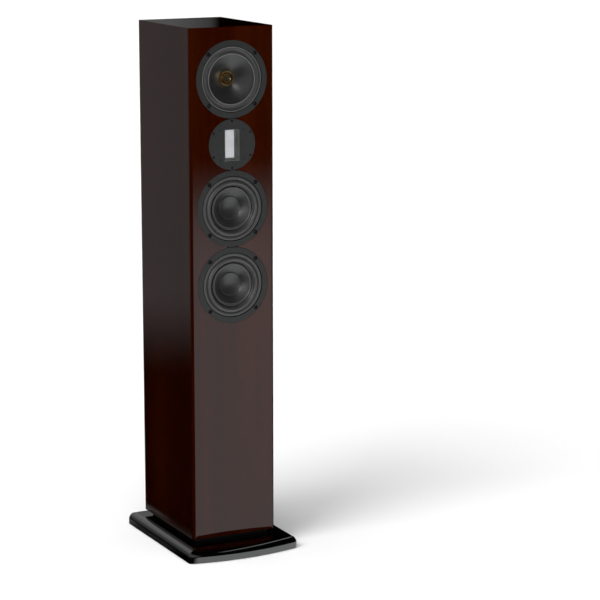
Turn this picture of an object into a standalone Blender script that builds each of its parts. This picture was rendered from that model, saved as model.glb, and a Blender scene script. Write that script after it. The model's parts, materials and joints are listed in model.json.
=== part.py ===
"""A three-way floorstanding loudspeaker as an assembly of separate pieces.

The front faces -Y, +X is to the right of someone facing it, and the origin is on the floor at the
centre of the plinth. Sizes below are millimetres; MM turns them into metres.
"""

import math

import bmesh
import bpy

MM = 0.001
GAP = 0.3  # clearance left between separate pieces that touch in the real object

# Cabinet
CABINET_WIDTH = 210.0
CABINET_FRONT = -120.7  # y of the front face
CABINET_BACK = 160.3  # y of the rear face
CABINET_BOTTOM = 39.4
CABINET_TOP = 1219.0
VENEER = 1.0
BAFFLE = 22.0
PANEL = 18.0
EDGE_ROUND = 1.2
FRONT_EDGE_ROUND = 8.0  # the two vertical edges beside the front face

# Plinth, the riser that lifts the cabinet off it, and its fixings
PLINTH_HALF_WIDTH = 139.4
PLINTH_HALF_DEPTH = 191.1
PLINTH_BOW = 18.0  # how far the middle of the front edge stands ahead of its corners
PLINTH_BOTTOM = 1.2
PLINTH_TOP = 29.4
PLINTH_ROUND = 17.0
PLINTH_CORNER = 12.0
RISER_INSET = 14.0
PAD_RADIUS = 16.0
PAD_PLACES = ((-110, -140), (110, -140), (-110, 160), (110, 160))
BOLT_PLACES = ((-65, -75), (65, -75), (-65, 115), (65, 115))
BOLT_RADIUS = 4.0

# Drivers: heights of their centres above the floor
MID_HEIGHT = 1101.2
TWEETER_HEIGHT = 954.2
UPPER_WOOFER_HEIGHT = 807.7
LOWER_WOOFER_HEIGHT = 631.6
CONE_FLANGE = 87.75
TWEETER_FLANGE = 58.0
FLANGE_THICK = 5.0
CONE_HOLE = 76.0
TWEETER_HOLE = 50.0
SCREW_CIRCLE = 81.2
SCREW_RECESS = 3.9
TWEETER_SCREW_CIRCLE = 53.0

# Rear fittings
PORT_HEIGHT = 330.0
PORT_BORE = 33.0
PORT_LENGTH = 150.0
TERMINAL_HEIGHT = 165.0
CUP_HALF_WIDTH = 48.0
CUP_HALF_HEIGHT = 53.0
CUP_DEPTH = 36.0
POST_SPACING = 38.0

FLANGE_STEPS = 32
VISIBLE_STEPS = 28
HIDDEN_STEPS = 16
REBATE_STEPS = 40
REBATE_GAP = 0.4


def clear_scene():
    for obj in list(bpy.data.objects):
        bpy.data.objects.remove(obj, do_unlink=True)


def material(name, colour, metallic=0.0, roughness=0.5, coat=0.0):
    made = bpy.data.materials.new(name)
    made.use_nodes = True
    made.diffuse_color = (*colour, 1.0)
    shader = made.node_tree.nodes["Principled BSDF"]
    shader.inputs["Base Color"].default_value = (*colour, 1.0)
    shader.inputs["Metallic"].default_value = metallic
    shader.inputs["Roughness"].default_value = roughness
    shader.inputs["Coat Weight"].default_value = coat
    return made


def place(name, bm, finish, origin=(0, 0, 0), turn=(0, 0, 0)):
    """Turns a bmesh into a named object whose origin is given in millimetres."""
    bmesh.ops.recalc_face_normals(bm, faces=bm.faces)
    mesh = bpy.data.meshes.new(name)
    bm.to_mesh(mesh)
    bm.free()
    mesh.shade_smooth()
    mesh.set_sharp_from_angle(angle=math.radians(32))
    mesh.materials.append(finish)
    obj = bpy.data.objects.new(name, mesh)
    obj.location = [value * MM for value in origin]
    obj.rotation_euler = turn
    bpy.context.scene.collection.objects.link(obj)
    bpy.context.view_layer.update()
    return obj


def lathe_bmesh(profile, steps=VISIBLE_STEPS, flute=0.0):
    """Spins (radius, depth) points about local Y. A profile that meets the axis ends on it at both ends."""
    bm = bmesh.new()
    rings = []
    for radius, depth in profile:
        if radius == 0:
            rings.append([bm.verts.new((0, depth * MM, 0))])
            continue
        ring = []
        for step in range(steps):
            angle = 2 * math.pi * step / steps
            reach = (radius - (flute if step % 2 else 0.0)) * MM
            ring.append(bm.verts.new((reach * math.cos(angle), depth * MM, reach * math.sin(angle))))
        rings.append(ring)
    pairs = list(zip(rings, rings[1:]))
    if len(rings[0]) > 1:
        pairs.append((rings[-1], rings[0]))
    for first, second in pairs:
        for step in range(steps):
            after = (step + 1) % steps
            corners = (
                first[step % len(first)],
                first[after % len(first)],
                second[after % len(second)],
                second[step % len(second)],
            )
            bm.faces.new(list(dict.fromkeys(corners)))
    return bm


def lathe(name, profile, finish, origin, steps=VISIBLE_STEPS, turn=(0, 0, 0)):
    return place(name, lathe_bmesh(profile, steps), finish, origin, turn)


def add_box(bm, low, high):
    corners = [
        bm.verts.new((x * MM, y * MM, z * MM))
        for z in (low[2], high[2])
        for y in (low[1], high[1])
        for x in (low[0], high[0])
    ]
    for face in ((0, 2, 3, 1), (4, 5, 7, 6), (0, 1, 5, 4), (2, 6, 7, 3), (0, 4, 6, 2), (1, 3, 7, 5)):
        bm.faces.new([corners[index] for index in face])


def box(name, low, high, finish, rounding=0.0, origin=(0, 0, 0)):
    bm = bmesh.new()
    add_box(bm, low, high)
    if rounding:
        bmesh.ops.bevel(bm, geom=bm.edges[:], offset=rounding * MM, segments=1, affect="EDGES")
    return place(name, bm, finish, origin)


def add_cylinder(bm, centre, radius, low, high, axis="Y", steps=VISIBLE_STEPS):
    """A closed cylinder, for cutters and for the bodies of small parts."""
    ends = []
    for along in (low, high):
        ring = []
        for step in range(steps):
            angle = 2 * math.pi * (step + 0.5) / steps
            across, up = radius * math.cos(angle), radius * math.sin(angle)
            if axis == "Y":
                point = (centre[0] + across, along, centre[1] + up)
            else:
                point = (centre[0] + across, centre[1] + up, along)
            ring.append(bm.verts.new([value * MM for value in point]))
        ends.append(ring)
    bm.faces.new(ends[0])
    bm.faces.new(list(reversed(ends[1])))
    for step in range(steps):
        after = (step + 1) % steps
        bm.faces.new((ends[0][step], ends[0][after], ends[1][after], ends[1][step]))


def combine(obj, bm, operation="DIFFERENCE"):
    """Cuts or joins world-space shapes into obj and leaves one plain mesh."""
    helper = place("helper_" + obj.name, bm, obj.data.materials[0])
    helper.hide_render = True
    helper.display_type = "WIRE"
    modifier = obj.modifiers.new("combine", "BOOLEAN")
    modifier.operation = operation
    modifier.solver = "EXACT"
    modifier.object = helper
    graph = bpy.context.evaluated_depsgraph_get()
    result = bpy.data.meshes.new_from_object(obj.evaluated_get(graph))
    obj.modifiers.remove(modifier)
    before = obj.data
    obj.data = result
    result.name = obj.name
    bpy.data.meshes.remove(before)
    helper_mesh = helper.data
    bpy.data.objects.remove(helper, do_unlink=True)
    bpy.data.meshes.remove(helper_mesh)
    obj.data.shade_smooth()
    obj.data.set_sharp_from_angle(angle=math.radians(32))


def front(depth):
    """The y of a point this far behind the cabinet's front face."""
    return CABINET_FRONT + depth


# ---------------------------------------------------------------- cabinet

CONE_HEIGHTS = (MID_HEIGHT, UPPER_WOOFER_HEIGHT, LOWER_WOOFER_HEIGHT)


def add_prism(bm, half_width, front_y, back_y, low, high, radius, steps=5):
    """An upright box whose two front vertical edges are rounded. Returns the face on top."""
    outline = [(half_width, back_y), (-half_width, back_y)]
    for sign, turns in ((-1, range(steps + 1)), (1, range(steps, -1, -1))):
        for step in turns:
            angle = math.pi / 2 * step / steps
            x = half_width - radius * (1 - math.cos(angle))
            outline.append((sign * x, front_y + radius * (1 - math.sin(angle))))
    rings = [[bm.verts.new((x * MM, y * MM, z * MM)) for x, y in outline] for z in (low, high)]
    bm.faces.new(list(reversed(rings[0])))
    for index in range(len(outline)):
        after = (index + 1) % len(outline)
        bm.faces.new((rings[0][index], rings[0][after], rings[1][after], rings[1][index]))
    return bm.faces.new(rings[1])


def rebate_cutters(bm, front_y, back_y):
    """The flange recesses, with the short slots where neighbouring recesses run into each other."""
    for height in CONE_HEIGHTS:
        add_cylinder(bm, (0, height), CONE_FLANGE + REBATE_GAP, front_y, back_y, steps=REBATE_STEPS)
    add_cylinder(bm, (0, TWEETER_HEIGHT), TWEETER_FLANGE + REBATE_GAP, front_y, back_y, steps=32)


def slot_cutters(bm, front_y, back_y):
    reach = CONE_FLANGE
    joins = (
        (MID_HEIGHT - reach + TWEETER_HEIGHT + TWEETER_FLANGE) / 2,
        (TWEETER_HEIGHT - TWEETER_FLANGE + UPPER_WOOFER_HEIGHT + reach) / 2,
        (UPPER_WOOFER_HEIGHT - reach + LOWER_WOOFER_HEIGHT + reach) / 2,
    )
    for centre, half_width in zip(joins, (11.0, 11.0, 14.0)):
        add_box(bm, (-half_width, front_y, centre - 1.3), (half_width, back_y, centre + 1.3))


def build_cabinet(veneer, board):
    half = CABINET_WIDTH / 2
    outer = bmesh.new()
    lid = add_prism(
        outer, half, CABINET_FRONT, CABINET_BACK, CABINET_BOTTOM - 10, CABINET_TOP, FRONT_EDGE_ROUND
    )
    bmesh.ops.bevel(outer, geom=list(lid.edges), offset=EDGE_ROUND * MM, segments=1, affect="EDGES")
    skin = place("veneer_skin", outer, veneer)
    inner = bmesh.new()
    add_prism(
        inner,
        half - VENEER,
        CABINET_FRONT + VENEER,
        CABINET_BACK - VENEER,
        CABINET_BOTTOM - 20,
        CABINET_TOP - VENEER,
        FRONT_EDGE_ROUND - VENEER,
    )
    combine(skin, inner)
    trim = bmesh.new()
    low = (-half - 5, CABINET_FRONT - 5, CABINET_BOTTOM - 20)
    add_box(trim, low, (half + 5, CABINET_BACK + 5, CABINET_BOTTOM))
    combine(skin, trim)
    for cutters in (rebate_cutters, slot_cutters):
        holes = bmesh.new()
        cutters(holes, front(-5), front(VENEER + GAP / 2))
        combine(skin, holes)
    holes = bmesh.new()
    rear_in, rear_out = CABINET_BACK - VENEER - GAP / 2, CABINET_BACK + 5
    add_cylinder(holes, (0, PORT_HEIGHT), 42.2, rear_in, rear_out)
    add_box(
        holes,
        (-CUP_HALF_WIDTH - 0.6, rear_in, TERMINAL_HEIGHT - CUP_HALF_HEIGHT - 0.6),
        (CUP_HALF_WIDTH + 0.6, rear_out, TERMINAL_HEIGHT + CUP_HALF_HEIGHT + 0.6),
    )
    combine(skin, holes)

    inside = half - VENEER - GAP
    face = CABINET_FRONT + VENEER + GAP
    back = CABINET_BACK - VENEER - GAP
    lid = CABINET_TOP - VENEER - GAP
    base = CABINET_BOTTOM
    panel = bmesh.new()
    add_prism(panel, inside, face, face + BAFFLE, base, lid, FRONT_EDGE_ROUND - VENEER - GAP)
    baffle = place("front_baffle", panel, board)
    for cutters in (rebate_cutters, slot_cutters):
        holes = bmesh.new()
        cutters(holes, front(-5), front(FLANGE_THICK + GAP))
        combine(baffle, holes)
    holes = bmesh.new()
    for height in CONE_HEIGHTS:
        add_cylinder(holes, (0, height), CONE_HOLE, front(2), front(60))
    add_cylinder(holes, (0, TWEETER_HEIGHT), TWEETER_HOLE, front(2), front(60), steps=24)
    combine(baffle, holes)

    rear = box("rear_panel", (-inside, back - PANEL, base), (inside, back, lid), board)
    holes = bmesh.new()
    add_cylinder(holes, (0, PORT_HEIGHT), 42.2, back - 60, back + 10)
    add_box(
        holes,
        (-CUP_HALF_WIDTH - 0.6, back - 60, TERMINAL_HEIGHT - CUP_HALF_HEIGHT - 0.6),
        (CUP_HALF_WIDTH + 0.6, back + 10, TERMINAL_HEIGHT + CUP_HALF_HEIGHT + 0.6),
    )
    combine(rear, holes)

    side_front = face + BAFFLE + GAP
    side_back = back - PANEL - GAP
    box("side_panel_left", (-inside, side_front, base), (-inside + PANEL, side_back, lid), board)
    box("side_panel_right", (inside - PANEL, side_front, base), (inside, side_back, lid), board)
    reach = inside - PANEL - GAP
    box("top_panel", (-reach, side_front, lid - PANEL), (reach, side_back, lid), board)
    bottom = box("bottom_panel", (-reach, side_front, base), (reach, side_back, base + PANEL), board)
    holes = bmesh.new()
    for place_xy in BOLT_PLACES:
        add_cylinder(holes, place_xy, BOLT_RADIUS + 0.4, base - 5, base + 15.6, "Z", 12)
    combine(bottom, holes)
    box("chamber_shelf", (-reach, side_front, 885.0), (reach, side_back, 900.0), board)
    brace = box("window_brace", (-reach, side_front, 712.2), (reach, side_back, 727.2), board)
    window = bmesh.new()
    add_box(window, (-reach + 25, side_front + 30, 700), (reach - 25, side_back - 30, 740))
    combine(brace, window)


# ---------------------------------------------------------------- plinth

def plinth_outline(inset, corner_steps=3, front_steps=12):
    """The plinth's outline, drawn in by inset: straight sides and back, and a bowed front."""
    half = PLINTH_HALF_WIDTH
    radius = (half**2 + PLINTH_BOW**2) / (2 * PLINTH_BOW)
    centre_y = -PLINTH_HALF_DEPTH + radius
    corner = max(PLINTH_CORNER - inset, 0.5)
    side = half - inset
    corner_x = side - corner
    front_y = centre_y - math.sqrt((radius - inset - corner) ** 2 - corner_x**2)
    back_y = PLINTH_HALF_DEPTH - inset - corner
    sweep = math.atan2(corner_x, centre_y - front_y)
    points = []
    for step in range(front_steps + 1):
        angle = sweep * (2 * step / front_steps - 1)
        points.append(((radius - inset) * math.sin(angle), centre_y - (radius - inset) * math.cos(angle)))
    for step in range(1, corner_steps + 1):
        angle = sweep + (math.pi / 2 - sweep) * step / corner_steps
        points.append((corner_x + corner * math.sin(angle), front_y - corner * math.cos(angle)))
    for sign, start in ((1, 0), (-1, 1)):
        for step in range(corner_steps + 1):
            angle = (start + step / corner_steps) * math.pi / 2
            points.append((sign * corner_x + corner * math.cos(angle), back_y + corner * math.sin(angle)))
    for step in range(corner_steps):
        angle = math.pi / 2 + (math.pi / 2 - sweep) * step / corner_steps
        points.append((-corner_x - corner * math.sin(angle), front_y + corner * math.cos(angle)))
    return points


def build_plinth(lacquer, stained, rubber, steel):
    levels = [(0.8, PLINTH_BOTTOM), (0.0, PLINTH_BOTTOM + 0.8)]
    for step in range(5):
        angle = math.radians(22.5 * step)
        levels.append(
            (PLINTH_ROUND * (1 - math.cos(angle)), PLINTH_TOP - PLINTH_ROUND * (1 - math.sin(angle)))
        )
    bm = bmesh.new()
    rings = []
    for inset, height in levels:
        rings.append([bm.verts.new((x * MM, y * MM, height * MM)) for x, y in plinth_outline(inset)])
    for lower, upper in zip(rings, rings[1:]):
        for index in range(len(lower)):
            after = (index + 1) % len(lower)
            bm.faces.new((lower[index], lower[after], upper[after], upper[index]))
    bm.faces.new(list(reversed(rings[0])))
    bm.faces.new(rings[-1])
    plinth = place("plinth", bm, lacquer)
    holes = bmesh.new()
    for place_xy in BOLT_PLACES:
        add_cylinder(holes, place_xy, BOLT_RADIUS + 0.4, -5, PLINTH_TOP + 5, "Z", 12)
    for place_xy in PAD_PLACES:
        add_cylinder(holes, place_xy, PAD_RADIUS + GAP, -5, 4.2, "Z", 20)
    combine(plinth, holes)
    holes = bmesh.new()
    for place_xy in BOLT_PLACES:
        add_cylinder(holes, place_xy, 7.2, -5, 10.3, "Z", 16)
    combine(plinth, holes)

    half = CABINET_WIDTH / 2 - RISER_INSET
    riser = box(
        "plinth_riser",
        (-half, CABINET_FRONT + RISER_INSET, PLINTH_TOP + GAP),
        (half, CABINET_BACK - RISER_INSET, CABINET_BOTTOM - GAP),
        stained,
    )
    holes = bmesh.new()
    for place_xy in BOLT_PLACES:
        add_cylinder(holes, place_xy, BOLT_RADIUS + 0.4, 20, 50, "Z", 12)
    combine(riser, holes)

    upright = (math.pi / 2, 0, 0)
    corners = ("front_left", "front_right", "rear_left", "rear_right")
    for where, (x, y) in zip(corners, PAD_PLACES):
        pad = [(0, 0), (PAD_RADIUS - 1, 0), (PAD_RADIUS, 1), (PAD_RADIUS, 3.9), (0, 3.9)]
        lathe("floor_pad_" + where, pad, rubber, (x, y, 0), 20, upright)
    for where, (x, y) in zip(corners, BOLT_PLACES):
        shank = [(0, 2), (6.5, 2), (6.5, 10), (BOLT_RADIUS, 10), (BOLT_RADIUS, 53), (3, 54), (0, 54)]
        bolt = lathe("plinth_bolt_" + where, shank, steel, (x, y, 0), 12, upright)
        socket = bmesh.new()
        add_cylinder(socket, (x, y), 3.4, -2, 6.5, "Z", 6)
        combine(bolt, socket)


# ---------------------------------------------------------------- cone drivers

WOOFER = {
    "ledge": 67.5,
    "bowl": [(68.5, 22.0), (48.6, 47.5)],
    "shelf": 47.5,
    "shelf_inner": 44.0,
    "rear": 58.0,
    "former_inner": 18.2,
    "former_outer": 18.9,
    "former_front": 22.0,
    "cone_front": [(50.4, 6.0), (43.8, 6.0), (35.0, 10.2), (27.0, 15.4), (22.5, 19.8), (19.4, 25.2)],
}
MID = {
    "ledge": 72.3,
    "bowl": [(69.0, 22.0), (48.6, 47.5)],
    "shelf": 47.5,
    "shelf_inner": 44.0,
    "rear": 58.0,
    "former_inner": 15.7,
    "former_outer": 16.4,
    "former_front": 26.2,
    "cone_front": [(57.6, 4.9), (55.6, 4.9), (43.0, 11.2), (28.0, 19.6), (16.9, 27.4)],
}
CONE_THICK = 1.1
CAP_RADIUS = 26.4  # the woofers' dust caps are dished inwards
CAP_EDGE = 14.8
CAP_SINK = 5.2
CAP_THICK = 0.7


def build_basket(name, spec, origin, alloy):
    outline = [
        (74.3, 0.0),
        (CONE_FLANGE, 0.0),
        (CONE_FLANGE, FLANGE_THICK),
        (75.1, FLANGE_THICK),
        (72.2, 24.0),
        (51.6, 49.0),
        (51.6, spec["rear"]),
        (23.0, spec["rear"]),
        (23.0, spec["rear"] - 3.5),
        (spec["shelf_inner"], spec["rear"] - 3.5),
        (spec["shelf_inner"], spec["shelf"]),
        *reversed(spec["bowl"]),
        (spec["ledge"], 4.6),
        (74.3, 4.6),
    ]
    basket = lathe(name, outline, alloy, origin, FLANGE_STEPS)
    x, y, z = origin
    windows = bmesh.new()
    for index in range(6):
        angle = math.radians(60 * index + 30)
        near, far, half = 38.0, 95.0, 13.0
        corners = []
        for depth in (27.0, 44.5):
            for reach, side in ((near, -half), (far, -half), (far, half), (near, half)):
                across = reach * math.cos(angle) - side * math.sin(angle)
                up = reach * math.sin(angle) + side * math.cos(angle)
                corners.append(windows.verts.new(((x + across) * MM, (y + depth) * MM, (z + up) * MM)))
        for face in ((0, 1, 2, 3), (7, 6, 5, 4), (0, 4, 5, 1), (1, 5, 6, 2), (2, 6, 7, 3), (3, 7, 4, 0)):
            windows.faces.new([corners[corner] for corner in face])
    combine(basket, windows)
    holes = bmesh.new()
    for quarter in range(4):
        angle = math.radians(90 * quarter + 45)
        centre = (SCREW_CIRCLE * math.cos(angle), z + SCREW_CIRCLE * math.sin(angle))
        add_cylinder(holes, centre, SCREW_RECESS, front(-3), front(2.6), steps=8)
    combine(basket, holes)
    return basket


def arc(centre, across, level, rise, steps):
    """Points of a half-roll, from its outer edge to its inner one; a negative rise dips inwards."""
    points = []
    for step in range(steps + 1):
        angle = math.pi * step / steps
        points.append((centre + across * math.cos(angle), level - rise * math.sin(angle)))
    return points


def woofer_surround():
    """A half-roll that stands proud, between a rim on the basket and a lip glued to the cone's edge."""
    over = arc(58.9, 5.4, 2.6, 4.6, 5)
    under = arc(58.9, 4.2, 3.6, 4.4, 3)
    rim = [(73.8, 1.3), (65.6, 1.3)]
    lip = [(49.8, 4.8), (43.8, 4.8), (43.8, 5.6), (50.6, 5.6)]
    return rim + over + lip + under[::-1] + [(67.2, 4.3), (73.8, 4.3)]


def mid_surround():
    """A shallow roll that dips inwards, with a raised bead where it meets the cone."""
    over = arc(65.3, 6.6, 3.0, -3.2, 5)
    under = arc(65.3, 5.4, 4.4, -3.4, 3)
    return [(73.8, 1.6), (72.4, 1.6)] + over + [(56.8, 2.3), (55.8, 4.5)] + under[::-1] + [(73.8, 4.3)]


def spider_outline(inner):
    outer = 48.2
    over = [(inner, 46.2)]
    folds = 3
    for step in range(1, folds * 2):
        radius = inner + (44.6 - inner) * step / (folds * 2)
        over.append((radius, 46.2 + (1.4 if step % 2 else -1.4)))
    over.append((44.8, 46.4))
    over.append((outer, 46.4))
    return over + [(radius, depth + 0.8) for radius, depth in reversed(over)]


def build_cone_driver(prefix, height, spec, finishes):
    origin = (0, CABINET_FRONT, height)
    build_basket(prefix + "_basket", spec, origin, finishes["alloy"])
    roll = woofer_surround() if spec is WOOFER else mid_surround()
    lathe(prefix + "_surround", roll, finishes["rubber"], origin)
    skin = spec["cone_front"]
    behind = [(radius, depth + (CONE_THICK if radius > 46 else 1.5)) for radius, depth in reversed(skin)]
    lathe(prefix + "_cone", skin + behind, finishes["cone"], origin)
    rear = spec["rear"]
    coil = spec["former_outer"] + 0.4
    former = [
        (spec["former_inner"], spec["former_front"]),
        (spec["former_outer"], spec["former_front"]),
        (spec["former_outer"], rear - 1),
        (coil, rear - 0.6),
        (coil, rear + 12),
        (spec["former_inner"], rear + 12),
    ]
    lathe(prefix + "_voice_coil", former, finishes["former"], origin, HIDDEN_STEPS)
    folds = spider_outline(spec["former_outer"] + GAP)
    lathe(prefix + "_spider", folds, finishes["cloth"], origin, HIDDEN_STEPS)
    pole = spec["former_inner"] - 0.5
    hole = coil + 0.6
    plate_front = rear + GAP
    plate = [(hole, plate_front), (42, plate_front), (42, plate_front + 6), (hole, plate_front + 6)]
    lathe(prefix + "_top_plate", plate, finishes["steel"], origin, HIDDEN_STEPS)
    ring_front = plate_front + 6 + GAP
    ring = [(24, ring_front), (47, ring_front), (47, ring_front + 16), (24, ring_front + 16)]
    lathe(prefix + "_magnet", ring, finishes["ferrite"], origin, HIDDEN_STEPS)
    back = ring_front + 16 + GAP
    yoke = [(5, plate_front), (pole, plate_front), (pole, back), (42, back), (42, back + 6), (5, back + 6)]
    lathe(prefix + "_pole_yoke", yoke, finishes["steel"], origin, HIDDEN_STEPS)
    if spec is WOOFER:
        dish, behind = [], []
        for step in range(5):
            radius = CAP_RADIUS * step / 4
            sink = CAP_SINK * (1 - (radius / CAP_RADIUS) ** 2)
            dish.append((radius, CAP_EDGE + sink))
            behind.append((radius, CAP_EDGE + sink + CAP_THICK))
        behind[-1] = (CAP_RADIUS - 0.6, CAP_EDGE + CAP_THICK - 0.1)
        lathe(prefix + "_dust_cap", dish + list(reversed(behind)), finishes["cone"], origin, 20)
    else:
        bullet = [(0, 7.0), (2.2, 7.9), (5.2, 12.4), (9.4, 19.4), (12.9, 28.0)]
        bullet += [(12.9, plate_front - GAP), (0, plate_front - GAP)]
        lathe(prefix + "_phase_plug", bullet, finishes["brass"], origin, 20)


# ---------------------------------------------------------------- ribbon tweeter

def build_tweeter(finishes):
    origin = (0, CABINET_FRONT, TWEETER_HEIGHT)
    edge = TWEETER_FLANGE
    disc = [(0, 0), (edge - 0.5, 0), (edge, 0.5), (edge, FLANGE_THICK), (0, FLANGE_THICK)]
    plate = lathe("tweeter_faceplate", disc, finishes["alloy"], origin, FLANGE_STEPS)
    hole = bmesh.new()
    z = TWEETER_HEIGHT
    add_box(hole, (-18.6, front(-5), z - 37.6), (18.6, front(20), z + 37.6))
    combine(plate, hole)
    holes = bmesh.new()
    for step in range(6):
        angle = math.radians(60 * step + 30)
        centre = (TWEETER_SCREW_CIRCLE * math.cos(angle), z + TWEETER_SCREW_CIRCLE * math.sin(angle))
        add_cylinder(holes, centre, 1.8, front(-3), front(9), steps=6)
    for across in (-29, 29):
        for up in (-33, 33):
            add_cylinder(holes, (across, z + up), 1.5, front(-3), front(9), steps=6)
    combine(plate, holes)

    grille = box(
        "tweeter_grille", (-18.3, front(1.4), z - 37.3), (18.3, front(2.2), z + 37.3), finishes["mesh"]
    )
    slots = bmesh.new()
    for index in range(12):
        across = -16.5 + 3.0 * index
        add_box(slots, (across - 1.0, front(0), z - 36.0), (across + 1.0, front(4), z + 36.0))
    combine(grille, slots)

    body_front = FLANGE_THICK + GAP
    motor = box(
        "tweeter_motor", (-30, front(body_front), z - 39), (30, front(30), z + 39), finishes["steel"], 0.8
    )
    pocket = bmesh.new()
    add_box(pocket, (-18.6, front(0), z - 37.6), (18.6, front(12.4), z + 37.6))
    combine(motor, pocket)
    gap = bmesh.new()
    add_box(gap, (-11.8, front(10), z - 32.5), (11.8, front(27), z + 32.5))
    combine(motor, gap)

    pleats = 28
    bm = bmesh.new()
    rows = []
    for index in range(pleats + 1):
        up = -31.5 + 63.0 * index / pleats
        depth = 13.6 + (0.5 if index % 2 else -0.5)
        rows.append(
            [
                bm.verts.new((across * MM, (depth + thick) * MM, up * MM))
                for across, thick in ((-11, 0), (11, 0), (11, 0.4), (-11, 0.4))
            ]
        )
    for lower, upper in zip(rows, rows[1:]):
        for corner in range(4):
            after = (corner + 1) % 4
            bm.faces.new((lower[corner], lower[after], upper[after], upper[corner]))
    bm.faces.new(rows[0])
    bm.faces.new(list(reversed(rows[-1])))
    place("tweeter_ribbon", bm, finishes["foil"], origin)

    cup = box(
        "tweeter_rear_chamber", (-29, front(30.3), z - 38), (29, front(72), z + 38), finishes["plastic"], 1.0
    )
    hollow = bmesh.new()
    add_box(hollow, (-26, front(20), z - 35), (26, front(69), z + 35))
    combine(cup, hollow)


# ---------------------------------------------------------------- rear fittings

def build_rear(finishes):
    outwards = (0, 0, math.pi)
    port = [
        (52, -GAP),
        (52, -2.6),
        (46, -3.2),
        (40.0, -0.6),
        (35.5, 6.0),
        (PORT_BORE, 18.0),
        (PORT_BORE, PORT_LENGTH - 10),
        (PORT_BORE + 6, PORT_LENGTH),
        (PORT_BORE + 3, PORT_LENGTH - 14),
        (PORT_BORE + 3, 26),
        (41.4, 8),
        (41.4, -GAP),
    ]
    lathe("port_tube", port, finishes["plastic"], (0, CABINET_BACK, PORT_HEIGHT), 24, outwards)

    z = TERMINAL_HEIGHT
    flange = box(
        "terminal_cup",
        (-58, CABINET_BACK + GAP, z - 63),
        (58, CABINET_BACK + 3.3, z + 63),
        finishes["plastic"],
        0.8,
    )
    floor_y = CABINET_BACK - CUP_DEPTH + 3
    body = bmesh.new()
    add_box(
        body,
        (-CUP_HALF_WIDTH, CABINET_BACK - CUP_DEPTH, z - CUP_HALF_HEIGHT),
        (CUP_HALF_WIDTH, CABINET_BACK + 2, z + CUP_HALF_HEIGHT),
    )
    combine(flange, body, "UNION")
    hollow = bmesh.new()
    add_box(
        hollow,
        (-CUP_HALF_WIDTH + 3, floor_y, z - CUP_HALF_HEIGHT + 3),
        (CUP_HALF_WIDTH - 3, CABINET_BACK + 20, z + CUP_HALF_HEIGHT - 3),
    )
    combine(flange, hollow)
    holes = bmesh.new()
    for side in (-1, 1):
        add_cylinder(holes, (side * POST_SPACING / 2, z), 4.9, floor_y - 20, floor_y + 20, steps=16)
    combine(flange, holes)

    # Seen from behind, the red post is on the right.
    for colour, side in (("red", -1), ("black", 1)):
        origin = (side * POST_SPACING / 2, floor_y, z)
        post = [
            (0, 18),
            (3, 18),
            (3, 6.6),
            (6.5, 6.6),
            (6.5, 3.3),
            (4.5, 3.3),
            (4.5, -0.3),
            (8.0, -0.3),
            (8.0, -4.0),
            (4.0, -4.0),
            (4.0, -24.2),
            (3.5, -24.7),
            (2.1, -24.7),
            (2.1, -8.0),
            (0, -8.0),
        ]
        lathe("post_" + colour, post, finishes["gold"], origin, 12, outwards)
        washer = [(4.4, -4.4), (8.6, -4.4), (8.6, -6.2), (4.4, -6.2)]
        lathe("post_washer_" + colour, washer, finishes["gold"], origin, HIDDEN_STEPS, outwards)
        grip = [(8.9, -7.4), (8.9, -26.6), (7.6, -28.0)]
        bm = lathe_bmesh(
            [(4.4, -6.6), (8.3, -6.6), *grip, (2.6, -28.0), (2.6, -25.3), (4.4, -25.3)], 20
        )
        for vertex in bm.verts:
            reach = math.hypot(vertex.co.x, vertex.co.z)
            angle = math.degrees(math.atan2(vertex.co.z, vertex.co.x)) % 360
            if reach > 8.5 * MM and round(angle / 18) % 2:
                vertex.co.x *= 0.94
                vertex.co.z *= 0.94
        place("post_knob_" + colour, bm, finishes["knob_" + colour], origin, outwards)

    board_low = CABINET_BOTTOM + PANEL + GAP
    top = board_low + 8
    crossover = box("crossover_board", (-70, -60, top - 2), (70, 70, top), finishes["circuit"])
    parts = bmesh.new()
    for x in (-60, 60):
        for y in (-50, 60):
            add_cylinder(parts, (x, y), 4, board_low, board_low + 7, "Z", 8)
    for x, y, radius, tall in ((-38, -25, 24, 26), (32, 34, 20, 22)):
        add_cylinder(parts, (x, y), radius, top - 1, top + tall, "Z", 20)
    for x, y, radius in ((30, -35, 11), (-40, 30, 13)):
        add_box(parts, (x - 18, y - radius, top - 1), (x + 18, y + radius, top + 2 * radius))
    combine(crossover, parts, "UNION")
    wells = bmesh.new()
    for x, y, radius in ((-38, -25, 10), (32, 34, 8)):
        add_cylinder(wells, (x, y), radius, top, top + 60, "Z", 14)
    combine(crossover, wells)


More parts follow.
